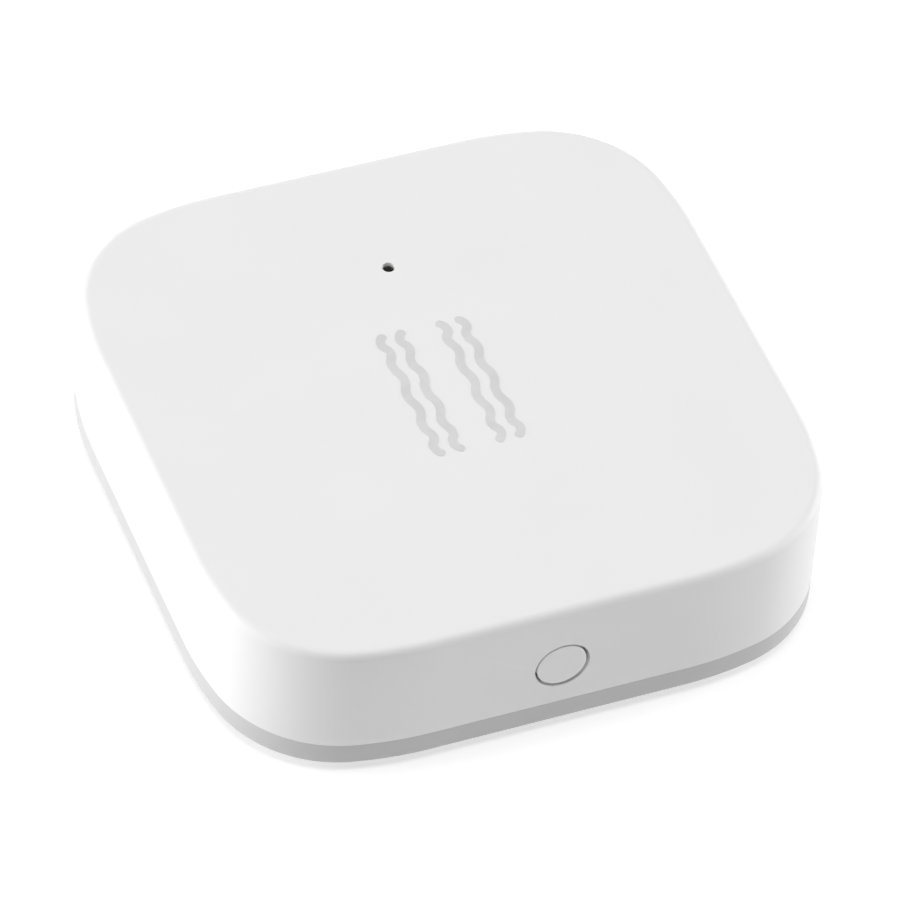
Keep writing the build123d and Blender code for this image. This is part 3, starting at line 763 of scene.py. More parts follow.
class PlanSweep(Recipe):
    """Sweeps rows of insets and heights round the rounded square."""

    def __init__(self) -> None:
        """Build the tree: a grid whose points follow the outline's rule."""
        arcs = ("Side Radius", "Tip Radius", "Side Turn", "Side Centre", "Tip Centre", "Run End")
        super().__init__("plan_sweep", (*arcs, "Hole Place"), "Quarter Steps")
        seed = self.input("Geometry")
        rows = self.value("GeometryNodeAttributeDomainSize", {"component": "MESH"}, {0: seed}, "Point Count")
        quarter = self.input("Quarter Steps")
        grid = self.value("GeometryNodeMeshGrid", sockets={2: quarter * 4.0 + 1.0, 3: rows})
        index = self.value("GeometryNodeInputIndex")
        row, column = index % rows, (index / rows).apply("FLOOR")
        section = self.value(
            "GeometryNodeSampleIndex",
            {"data_type": "FLOAT_VECTOR", "domain": "POINT"},
            {"Geometry": seed, "Value": self.value("GeometryNodeInputPosition"), "Index": row},
        )
        inset, height, hole = self.split(section)
        turns = ((column + 0.001) / quarter).apply("FLOOR")
        angle = (column - turns * quarter) / (quarter - 1.0) * 90.0
        point = self._outline(angle, inset, turns)
        heading = column / (quarter * 4.0) * math.tau
        across, along = hole * heading.apply("COSINE"), hole * heading.apply("SINE")
        circle = self.combine(across, along + self.input("Hole Place"), 0.0)
        flat = self.value("ShaderNodeMix", {"data_type": "VECTOR"}, {0: hole > 0.0, 4: point, 5: circle}, 1)
        x, y, _ = self.split(flat)
        placed = self.value(
            "GeometryNodeSetPosition", sockets={"Geometry": grid, "Position": self.combine(x, y, height)}
        )
        closed = self.value("GeometryNodeMergeByDistance", sockets={"Geometry": placed, "Distance": 2e-7})
        self.close(closed)

    def _outline(self, angle: Value, inset: Value, turns: Value) -> Value:
        """Point of the outline at an angle of its normal.

        Args:
            angle: the angle within its quarter, in degrees.
            inset: how far in from the outline.
            turns: quarters that it is turned by.

        Returns:
            The point, as a vector.
        """
        turn = self.input("Side Turn")
        first, last = angle < turn, angle > 90.0 - turn
        side = first + last
        radius = self.choose(side, self.input("Tip Radius"), self.input("Side Radius")) - inset
        tip = self.input("Tip Centre")
        x = self.choose(last, self.choose(first, tip, self.input("Side Centre")), self.input("Run End"))
        y = self.choose(first, self.choose(last, tip, self.input("Side Centre")), self.input("Run End"))
        heading = angle * (math.pi / 180.0)
        corner = self.combine(x + radius * heading.apply("COSINE"), y + radius * heading.apply("SINE"), 0.0)
        return self.value(
            "ShaderNodeVectorRotate",
            {"rotation_type": "Z_AXIS"},
            {"Vector": corner, "Angle": turns * (math.pi / 2.0)},
        )

    def sweep(
        self, rows: Sequence[Row], rule: PlanRule, hole_place: float, finish: Finish
    ) -> bpy.types.Mesh:
        """Sweep rows round the outline.

        Args:
            rows: the section's rows in order.
            rule: the outline.
            hole_place: Y place of the middle of rows that are holes.
            finish: the surface finish.

        Returns:
            The swept mesh in metres.
        """
        seed = bpy.data.meshes.new("rows")
        points = [(row.inset * MM, row.height * MM, row.hole * MM) for row in rows]
        seed.from_pydata(points, [(i, i + 1) for i in range(len(points) - 1)], [])
        soft, tight, run_end = rule.centres()
        sizes = {
            "Side Radius": rule.side_radius * MM,
            "Tip Radius": rule.tip_radius * MM,
            "Side Turn": rule.side_turn,
            "Side Centre": soft * MM,
            "Tip Centre": tight * MM,
            "Run End": run_end * MM,
            "Hole Place": hole_place * MM,
            "Quarter Steps": rule.steps,
            "Material": finish.material(),
        }
        return self.run(seed, sizes)


class Ribbon(Recipe):
    """Turns centre lines into flat strokes with round ends and a thickness."""

    def __init__(self) -> None:
        """Build the tree: a flat band along each line, narrowed to a half circle at its ends."""
        super().__init__("ribbon", ("Width", "Thickness", "Step"))
        width, half = self.input("Width"), self.input("Width") * 0.5
        lines = self.value("GeometryNodeMeshToCurve", sockets={"Mesh": self.input("Geometry")})
        fine = self.value(
            "GeometryNodeResampleCurve", {"mode": "LENGTH"}, {"Curve": lines, "Length": self.input("Step")}
        )
        walked = self.value("GeometryNodeSplineParameter", output="Length")
        total = self.value("GeometryNodeSplineLength", output="Length")
        from_end = self.math("MINIMUM", walked, total - walked)
        short = half - self.math("MINIMUM", from_end, half)
        share = self.math("MAXIMUM", half * half - short * short, 0.0).apply("SQRT") / half
        level = self.value("GeometryNodeSetCurveNormal", {"mode": "Z_UP"}, {"Curve": fine})
        across = self.value(
            "GeometryNodeCurvePrimitiveLine",
            sockets={"Start": self.combine(width * -0.5, 0.0, 0.0), "End": self.combine(half, 0.0, 0.0)},
        )
        outline = {"Curve": level, "Profile Curve": across, "Scale": share + 0.002}
        band = self.value("GeometryNodeCurveToMesh", sockets=outline)
        up = self.value("GeometryNodeInputNormal", output=0)
        downward = self.split(up)[2] < 0.0
        band = self.value("GeometryNodeFlipFaces", sockets={"Mesh": band, "Selection": downward})
        rise = {"Mesh": band, "Offset": (0.0, 0.0, 1.0), "Offset Scale": self.input("Thickness"), 4: False}
        raised = self.value("GeometryNodeExtrudeMesh", sockets=rise)
        under = self.value("GeometryNodeFlipFaces", sockets={"Mesh": band})
        both = self.node("GeometryNodeJoinGeometry")
        for part in (raised, under):
            self.join(part, both.inputs[0])
        closed = {"Geometry": Value(self, both.outputs[0]), "Distance": 1e-7}
        whole = self.value("GeometryNodeMergeByDistance", sockets=closed)
        self.close(whole)

    def strokes(
        self, lines: Sequence[Sequence[Point]], width: float, thickness: float, step: float, finish: Finish
    ) -> bpy.types.Mesh:
        """Make strokes along lines.

        Args:
            lines: points of each centre line.
            width: the strokes' width.
            thickness: how far they stand up.
            step: distance between points along a stroke.
            finish: the surface finish.

        Returns:
            One mesh of all strokes, in metres.
        """
        points, edges = [], []
        for line in lines:
            first = len(points)
            points += [tuple(part * MM for part in point) for point in line]
            edges += [(first + i, first + i + 1) for i in range(len(line) - 1)]
        seed = bpy.data.meshes.new("lines")
        seed.from_pydata(points, edges, [])
        sizes = {"Width": width * MM, "Thickness": thickness * MM, "Step": step * MM}
        return self.run(seed, sizes | {"Material": finish.material()})


class Dots(Recipe):
    """Sets a flat round dot on every point of its seed."""

    def __init__(self) -> None:
        """Build the tree: a short disc on each point, turned by a seeded angle."""
        super().__init__("dots", ("Radius", "Height"), "Flats")
        sizes = {"Vertices": "Flats", "Radius": "Radius", "Depth": "Height"}
        disc = self.value(
            "GeometryNodeMeshCylinder", sockets={socket: self.input(name) for socket, name in sizes.items()}
        )
        turn = self.value(
            "FunctionNodeRandomValue", {"data_type": "FLOAT"}, {2: 0.0, 3: math.tau, "Seed": 11}, output=1
        )
        spread = self.value(
            "GeometryNodeInstanceOnPoints",
            sockets={"Points": self.input("Geometry"), 2: disc, "Rotation": self.combine(0.0, 0.0, turn)},
        )
        self.close(spread)

    def scatter(
        self, places: Sequence[Point], radius: float, height: float, flats: int, finish: Finish
    ) -> bpy.types.Mesh:
        """Make the dots.

        Args:
            places: the middle of each.
            radius: their radius.
            height: their thickness.
            flats: sides of each.
            finish: the surface finish.

        Returns:
            One mesh of all dots, in metres.
        """
        seed = bpy.data.meshes.new("places")
        seed.from_pydata([tuple(part * MM for part in place) for place in places], [], [])
        sizes = {"Radius": radius * MM, "Height": height * MM, "Flats": flats, "Material": finish.material()}
        return self.run(seed, sizes)


@dataclass(frozen=True)
class Levels:
    """Heights of the sensor's layers above the surface it is stuck to."""

    base: float = 0.5
    pad_seat: float = 0.65
    floor: float = 1.5
    seam: float = 2.044
    housing: float = 2.05
    lip: float = 4.22
    cell: float = 1.9
    board: float = 5.7
    board_top: float = 6.5
    boss: float = 7.38
    ceiling: float = 7.98
    pipe_shoulder: float = 8.43
    roof: float = 9.18
    button: float = 4.9


LEVEL = Levels()
PLAN = PlanRule()

# Radius and height of each ring of the forms under the roof, whose root is buried in the ceiling, and
# the two axes of a snap ridge's section.
ROOT = LEVEL.ceiling + 0.1
SCREW_BOSS = (
    (0.42, ROOT), (0.42, LEVEL.board_top), (1.42, LEVEL.board_top), (1.5, LEVEL.board_top + 0.08),
    (1.5, LEVEL.ceiling - 0.2), (1.7, ROOT),
)
LOCATING_POST = (
    (0.0, 5.16), (0.75, 5.2), (1.0, 5.36), (1.1, 5.56), (1.06, 5.7), (0.7, 5.7), (0.7, 6.5), (1.42, 6.5),
    (1.5, 6.58), (1.5, LEVEL.ceiling - 0.2), (1.7, ROOT), (0.0, ROOT),
)
HOOK_OUTLINE = ((15.95, -3.82), (16.38, -3.82), (16.64, -3.47), (16.38, -3.12), (15.95, -3.12))


class Clay:
    """A mesh in the making, with sizes in millimetres."""

    def __init__(self, start: bpy.types.Mesh | None = None) -> None:
        """Start a mesh.

        Args:
            start: a mesh in metres to start from, if any.
        """
        self.shape = bmesh.new()
        if start is not None:
            self.shape.from_mesh(start)
            self.shape.transform(Matrix.Scale(1.0 / MM, 4))

    def box(self, low: Point, high: Point, edge: float = 0.0, turn: float = 0.0) -> "Clay":
        """Add a box.

        Args:
            low: lowest corner.
            high: highest corner.
            edge: radius of its edges.
            turn: turn about Z, in degrees, after it is in place.

        Returns:
            The mesh itself.
        """
        part = bmesh.new()
        bmesh.ops.create_cube(part, size=1.0)
        size = [top - bottom for bottom, top in zip(low, high)]
        middle = [(bottom + top) / 2 for bottom, top in zip(low, high)]
        part.transform(Matrix.Translation(middle) @ Matrix.Diagonal((*size, 1.0)))
        self._soften(part, edge)
        part.transform(Matrix.Rotation(math.radians(turn), 4, "Z"))
        return self._take(part)

    def pair(self, sides: Pair, low: Pair, high: Pair, edge: float, middle: float = 0.0) -> "Clay":
        """Add two boxes that mirror each other.

        Args:
            sides: their near and far X, from the middle.
            low: lowest Y and Z.
            high: highest Y and Z.
            edge: radius of their edges.
            middle: X of the mirror.

        Returns:
            The mesh itself.
        """
        for hand in HANDS:
            first, last = sorted(middle + hand * side for side in sides)
            self.box((first, *low), (last, *high), edge)
        return self

    @staticmethod
    def _soften(part: bmesh.types.BMesh, edge: float, angle: float = 0.0) -> None:
        """Round the edges of a part.

        Args:
            part: the part.
            edge: radius of the rounded edges.
            angle: only edges sharper than this are rounded, in radians.
        """
        sharp = [e for e in part.edges if not angle or e.is_manifold and e.calc_face_angle(0.0) > angle]
        if edge > 0.0 and sharp:
            bmesh.ops.bevel(
                part, geom=sharp, offset=edge, segments=2, profile=0.5, affect="EDGES", clamp_overlap=True
            )

    def slab(self, outline: Sequence[Pair], bottom: float, top: float, edge: float = 0.0) -> "Clay":
        """Add an upright prism over an outline.

        Args:
            outline: X and Y of its corners, counterclockwise.
            bottom: lower level.
            top: upper level.
            edge: radius of its edges.

        Returns:
            The mesh itself.
        """
        part = bmesh.new()
        rings = [[part.verts.new((x, y, level)) for x, y in outline] for level in (bottom, top)]
        part.faces.new(list(reversed(rings[0])))
        part.faces.new(rings[1])
        for index in range(len(outline)):
            after = (index + 1) % len(outline)
            part.faces.new((rings[0][index], rings[0][after], rings[1][after], rings[1][index]))
        self._soften(part, edge)
        return self._take(part)

    def lathe(
        self, rows: Sequence[Pair], place: Point, steps: int = 48, tilt: Matrix = Matrix.Identity(4)
    ) -> "Clay":
        """Add a turned shape about Z.

        Args:
            rows: radius and height of each ring, closed at both ends on the axis or into a ring.
            place: where the axis stands.
            steps: flats round the axis.
            tilt: turn of the shape before it is put in place.

        Returns:
            The mesh itself.
        """
        part = bmesh.new()
        line = [part.verts.new((radius, 0.0, height)) for radius, height in rows]
        chain = [part.edges.new(pair) for pair in zip(line, line[1:])]
        if rows[0][0] > 1e-6:
            chain.append(part.edges.new((line[-1], line[0])))
        bmesh.ops.spin(
            part, geom=line + chain, axis=(0, 0, 1), angle=math.tau, steps=steps, use_merge=True
        )
        bmesh.ops.remove_doubles(part, verts=list(part.verts), dist=1e-5)
        bmesh.ops.recalc_face_normals(part, faces=list(part.faces))
        part.transform(Matrix.Translation(place) @ tilt)
        return self._take(part)

    def disc(
        self, radius: float, place: Pair, bottom: float, top: float, edges: Pair = (0, 0), steps: int = 48
    ) -> "Clay":
        """Add a disc with rounded edges.

        Args:
            radius: its radius.
            place: X and Y of its middle.
            bottom: lower level.
            top: upper level.
            edges: radius of the lower and of the upper edge.
            steps: flats round it.

        Returns:
            The mesh itself.
        """
        rows = [(0.0, bottom)]
        rows += arc_points((radius - edges[0], bottom + edges[0]), edges[0], -90, 0)
        rows += arc_points((radius - edges[1], top - edges[1]), edges[1], 0, 90)
        rows.append((0.0, top))
        return self.lathe(rows, (*place, 0.0), steps)

    def softened(self, edge: float) -> "Clay":
        """Merge the loose triangles of a CAD mesh and round its sharp edges.

        Args:
            edge: radius of the rounded edges.

        Returns:
            The mesh itself.
        """
        shape = self.shape
        bmesh.ops.remove_doubles(shape, verts=list(shape.verts), dist=2e-4)
        every = {"verts": list(shape.verts), "edges": list(shape.edges)}
        bmesh.ops.dissolve_limit(shape, angle_limit=FLAT_BELOW, **every)
        self.outward()._soften(shape, edge, ROUNDED_ABOVE)
        return self

    def moved(self, matrix: Matrix) -> "Clay":
        """Move or turn the mesh."""
        self.shape.transform(matrix)
        return self

    def take(self, other: "Clay") -> "Clay":
        """Join another mesh to this one, which uses it up."""
        return self._take(other.shape)

    def cap(self) -> "Clay":
        """Close every open ring with a flat face and turn all faces outwards.

        Returns:
            The mesh itself.
        """
        rim = [edge for edge in self.shape.edges if len(edge.link_faces) == 1]
        bmesh.ops.holes_fill(self.shape, edges=rim, sides=0)
        return self.outward()

    def outward(self) -> "Clay":
        """Turn all faces outwards."""
        bmesh.ops.recalc_face_normals(self.shape, faces=list(self.shape.faces))
        return self

    def cut(self, tool: "Clay") -> "Clay":
        """Cut another shape out of this one, exactly.

        Args:
            tool: the other shape.

        Returns:
            The mesh itself.
        """
        body, cutter = self._stand_in("cut_body"), tool._stand_in("cut_tool")
        modifier = body.modifiers.new("cut", "BOOLEAN")
        modifier.operation, modifier.solver, modifier.object = "DIFFERENCE", "EXACT", cutter
        evaluated = body.evaluated_get(bpy.context.evaluated_depsgraph_get())
        mesh = bpy.data.meshes.new_from_object(evaluated)
        for helper in (body, cutter):
            used = helper.data
            bpy.data.objects.remove(helper)
            bpy.data.meshes.remove(used)
        self.shape.free()
        self.shape = bmesh.new()
        self.shape.from_mesh(mesh)
        bpy.data.meshes.remove(mesh)
        bmesh.ops.remove_doubles(self.shape, verts=list(self.shape.verts), dist=1e-4)
        return self

    def _stand_in(self, title: str) -> bpy.types.Object:
        """A helper object with this shape, in millimetres.

        Args:
            title: its name.

        Returns:
            The object.
        """
        mesh = bpy.data.meshes.new(title)
        self.shape.to_mesh(mesh)
        return linked(title, mesh)

    def _take(self, part: bmesh.types.BMesh) -> "Clay":
        """Join a part to this mesh.

        Args:
            part: the part, which is used up.

        Returns:
            The mesh itself.
        """
        mesh = bpy.data.meshes.new("part")
        part.to_mesh(mesh)
        part.free()
        self.shape.from_mesh(mesh)
        bpy.data.meshes.remove(mesh)
        return self

    def mesh(self, title: str, finish: Finish) -> bpy.types.Mesh:
        """The finished mesh in metres, in one finish and shaded smooth below an angle.

        Args:
            title: its name.
            finish: its surface finish.

        Returns:
            The mesh.
        """
        self.shape.transform(Matrix.Scale(MM, 4))
        made = bpy.data.meshes.new(title)
        self.shape.to_mesh(made)
        self.shape.free()
        made.materials.clear()
        made.materials.append(finish.material())
        made.polygons.foreach_set("material_index", [0] * len(made.polygons))
        made.shade_smooth()
        made.set_sharp_from_angle(angle=SMOOTH_BELOW)
        return made


def arc_points(centre: Pair, radius: float, start: float, end: float, steps: int = 5) -> list[Pair]:
    """Points on an arc.

    Args:
        centre: the arc's centre.
        radius: its radius; 0 gives the centre alone.
        start: first angle in degrees.
        end: last angle in degrees.
        steps: stretches along it.

    Returns:
        The points in order.
    """
    if radius <= 0.0:
        return [centre]
    turns = [math.radians(start + (end - start) * index / steps) for index in range(steps + 1)]
    return [(centre[0] + radius * math.cos(turn), centre[1] + radius * math.sin(turn)) for turn in turns]


def tangent_arc(start: Pair, end: Pair, heading: float, steps: int = 8) -> tuple[list[Pair], float]:
    """Arc from one point to another that starts along a heading.

    Args:
        start: first point.
        end: last point.
        heading: the way at the start, in radians.
        steps: stretches along it.

    Returns:
        The points after the first one, and the heading at the end.
    """
    chord = math.atan2(end[1] - start[1], end[0] - start[0])
    length = math.dist(start, end)
    half = math.remainder(chord - heading, math.tau)
    points = []
    for index in range(1, steps + 1):
        share = index / steps
        if abs(half) < 1e-6:
            reach = length * share
        else:
            reach = length * math.sin(half * share) / math.sin(half)
        way = heading + half * share
        points.append((start[0] + reach * math.cos(way), start[1] + reach * math.sin(way)))
    return points, heading + 2 * half


def dress(finish: Finish, nodes: Iterable[str]) -> None:
    """Give CAD nodes their finish.

    Args:
        finish: the surface finish.
        nodes: their names.
    """
    for node in nodes:
        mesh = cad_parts[node].data
        mesh.materials.clear()
        mesh.materials.append(finish.material())


@dataclass(frozen=True)
class Softened:
    """A CAD node that is shown as its own mesh with rounded edges."""

    node: str
    finish: Finish
    slot: str
    edge: float
    body: Body = Body.HOUSING


@dataclass
class Trees:
    """The Geometry Nodes trees that the pieces share."""

    sweep: PlanSweep
    ribbon: Ribbon
    dots: Dots


@dataclass
class SubAssembly:
    """A group of pieces made together."""

    trees: Trees

    def build(self) -> None:
        """Make and place every piece."""
        raise NotImplementedError

    def place(
        self, title: str, clay: Clay, finish: Finish, body: Body, nodes: Sequence[str], slot: str
    ) -> None:
        """Put one piece in the scene.

        Args:
            title: the piece's name.
            clay: its shape.
            finish: its surface finish.
            body: the rigid body it rides.
            nodes: CAD nodes it stands for.
            slot: not used.
        """
        mesh = clay.mesh(title, finish)
        piece = linked(title, mesh)
        dress(finish, nodes)
        if nodes:
            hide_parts(*nodes)
        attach(piece, body.value)
        LOG.info("%s: %d faces on %s", title, len(mesh.polygons), body.value)

    def swept(self, rows: Sequence[Row], finish: Finish, hole_place: float = 0.0) -> Clay:
        """Rows swept round the sensor's outline, with their holes at one Y place."""
        return Clay(self.trees.sweep.sweep(rows, PLAN, hole_place, finish))

    def stroked(
        self, lines: Sequence[Sequence[Point]], width: float, thickness: float, step: float, finish: Finish
    ) -> Clay:
        """Strokes along lines, as Ribbon makes them."""
        return Clay(self.trees.ribbon.strokes(lines, width, thickness, step, finish)).outward()

    def soften(self, parts: Iterable[Softened]) -> None:
        """Show CAD nodes as their own meshes with rounded edges.

        Args:
            parts: the nodes, with their finishes.
        """
        for part in parts:
            clay = Clay(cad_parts[part.node].data).softened(part.edge)
            self.place(f"{part.node}_look", clay, part.finish, part.body, [part.node], part.slot)


@dataclass(frozen=True)
class Wave:
    """Rule of one printed wave: turning points from its middle out, and hooked ends."""

    swing: float = 0.135
    half_length: float = 4.6
    hook: float = 0.24
    cap: float = 0.265
    turns: tuple[float, ...] = (0.265, 0.513, 0.733, 0.889)
    shift: float = -0.29

    def line(self, place: float, hand: int) -> list[Point]:
        """Centre line of the wave on the roof.

        Args:
            place: X place of its middle line.
            hand: which way its middle swings, -1 or 1.

        Returns:
            Its points from front to back.
        """
        turns = [(place + hand * self.swing, 0.0)]
        side = -hand
        for share in self.turns:
            turns.append((place + side * self.swing, share * self.half_length))
            side = -side
        upper, heading = [turns[0]], math.pi / 2
        for start, end in zip(turns, turns[1:]):
            middle = ((start[0] + end[0]) / 2, (start[1] + end[1]) / 2)
            first, heading = tangent_arc(start, middle, heading)
            second, heading = tangent_arc(middle, end, heading)
            upper += first + second
        tip = (turns[-1][0] - hand * self.hook, self.half_length)
        tail, heading = tangent_arc(turns[-1], tip, heading)
        upper += tail
        upper.append((tip[0] + self.cap * math.cos(heading), tip[1] + self.cap * math.sin(heading)))
        lower = [(x, -y) for x, y in reversed(upper[1:])]
        return [(x, y + self.shift, LEVEL.roof) for x, y in lower + upper]


@dataclass
class Housing(SubAssembly):
    """White shell with its printed sign, key hole, light hole, bosses, rails and catches."""

    draft: float = 0.72
    roof_radius: float = 0.55
    roof_tangent: float = 0.9875
    wall: float = 1.3
    wall_row: float = 0.6
    ceiling_radius: float = 0.5
    seam_edge: float = 0.01
    flat_edge: float = 0.06
    flat_inset: float = 4.0
    hole_radius: float = 0.34
    hole_edge: float = 0.03
    hole_ring: float = 1.2
    boss_radius: float = 1.6
    boss_edge: float = 0.06
    boss_flare: Pair = (0.15, 0.1)
    bore_radius: float = 0.68
    bore_edge: float = 0.04
    key_hole_radius: float = 1.585
    key_flare: float = 0.025
    key_skin: float = 0.002
    key_cut: Pair = (1.0, 0.8)
    catch_half: float = 1.8
    catch_depth: Pair = (0.5, 0.22)
    catch_levels: Pair = (2.97, 3.97)
    catch_edge: float = 0.04
    ledge_reach: Pair = (15.7, 17.3)
    ledge_half: float = 2.0
    rail_sides: Pair = (2.28, 2.98)
    rail_ends: Pair = (-17.0, -15.75)
    rail_foot: float = 3.0
    form_edge: float = 0.08
    wave_places: Pair = (1.27, 2.41)
    wave_width: float = 0.53
    wave_step: float = 0.03
    ink: float = 0.02

    def build(self) -> None:
        """Sweep the shell, cut its openings, add the inner forms, and print the sign."""
        shell = self.swept(self.section(), Finishes.SHELL, LIGHT_PLACE).outward()
        shell.cut(self.key_hole())
        shell.cut(self.catches())
        self.inner_forms(shell)
        self.place("top_shell", shell, Finishes.SHELL, Body.HOUSING, ["top_housing"], "white_shell")
        lines = [Wave().line(hand * place, hand) for place in self.wave_places for hand in HANDS]
        sign = self.stroked(lines, self.wave_width, self.ink, self.wave_step, Finishes.INK)
        self.place("wave_sign", sign, Finishes.INK, Body.HOUSING, ["vibration_icon"], "print_grey")

    def section(self) -> list[Row]:
        """Rows from the light hole out over the roof, down the wall and back under the ceiling.

        Returns:
            The rows; the last is the first again.
        """
        roof, foot, ceiling, boss = LEVEL.roof, LEVEL.housing, LEVEL.ceiling, LEVEL.boss
        slope, edge = math.tan(math.radians(self.draft)), self.seam_edge
        centre = ((roof - foot) * slope + self.roof_radius * self.roof_tangent, roof - self.roof_radius)
        rows = [ring(roof - 2 * self.hole_edge, self.hole_radius)]
        rows += [ring(roof, self.hole_radius + self.hole_edge), ring(roof, self.hole_ring)]
        rows += [Row(self.flat_inset, roof), Row(centre[0] + self.flat_edge, roof)]
        rows += bend(centre, self.roof_radius, 90.0, 180.0 + self.draft, 9)
        rows.append(Row(self.wall_row * slope, foot + self.wall_row))
        rows += bend((edge, foot + edge), edge, 180.0, 270.0, 3)
        rows += bend((self.wall - edge, foot + edge), edge, 270.0, 360.0, 3)
        middle = (self.wall + self.ceiling_radius, ceiling - self.ceiling_radius)
        rows += bend(middle, self.ceiling_radius, 180.0, 90.0, 4) + [Row(self.flat_inset, ceiling)]
        wide, deep = self.boss_flare
        rows += [ring(ceiling, self.boss_radius + wide), ring(ceiling - deep, self.boss_radius)]
        rows.append(ring(boss + self.boss_edge, self.boss_radius))
        rows.append(ring(boss, self.boss_radius - self.boss_edge))
        rows.append(ring(boss, self.bore_radius + self.bore_edge))
        rows.append(ring(boss + self.bore_edge, self.bore_radius))
        rows += [ring(LEVEL.pipe_shoulder, self.bore_radius), ring(LEVEL.pipe_shoulder, self.hole_radius)]
        return rows + rows[:1]

    def key_hole(self) -> Clay:
        """Cutter of the round key hole in the front wall, flared at the outside.

        Returns:
            The cutter.
        """
        slope = math.tan(math.radians(self.draft))
        front = (LEVEL.button - LEVEL.housing) * slope - PLAN.half_side
        back = self.wall + self.key_cut[1] - PLAN.half_side
        wide = self.key_hole_radius + self.key_flare
        rows = [(0.0, front - self.key_cut[0]), (wide, front - self.key_cut[0])]
        rows += arc_points((wide, front + self.key_skin + self.key_flare), self.key_flare, -90, -180, 4)
        rows += [(self.key_hole_radius, back), (0.0, back)]
        return Clay().lathe(rows, (0.0, 0.0, LEVEL.button), SMOOTH_STEPS, TO_FRONT)

    def catches(self) -> Clay:
        """Cutter of the shallow pockets that take the cover's hooks.

        Returns:
            The cutter.
        """
        clay, inner = Clay(), PLAN.half_side - self.wall
        near, far = inner - self.catch_depth[0], inner + self.catch_depth[1]
        low, high = self.catch_levels
        for turn in QUARTERS:
            for place in (-HOOK_PLACE, HOOK_PLACE):
                first, last = place - self.catch_half, place + self.catch_half
                clay.box((near, first, low), (far, last, high), self.catch_edge, turn)
        return clay

    def inner_forms(self, shell: Clay) -> None:
        """Add ledges, screw bosses, locating posts with melted heads, and the key's rails.

        Args:
            shell: the shell that they grow from.
        """
        (near, far), half = self.ledge_reach, self.ledge_half
        for turn in QUARTERS[:3]:
            shell.box((near, -half, LEVEL.board_top), (far, half, ROOT), self.form_edge, turn)
        for hand in HANDS:
            shell.lathe(SCREW_BOSS, (hand * FIXING_PLACE, -hand * FIXING_PLACE, 0.0), ROUND_STEPS)
            shell.lathe(LOCATING_POST, (hand * FIXING_PLACE, hand * FIXING_PLACE, 0.0), ROUND_STEPS)
        low, high = (self.rail_ends[0], self.rail_foot), (self.rail_ends[1], ROOT)
        shell.pair(self.rail_sides, low, high, self.form_edge)


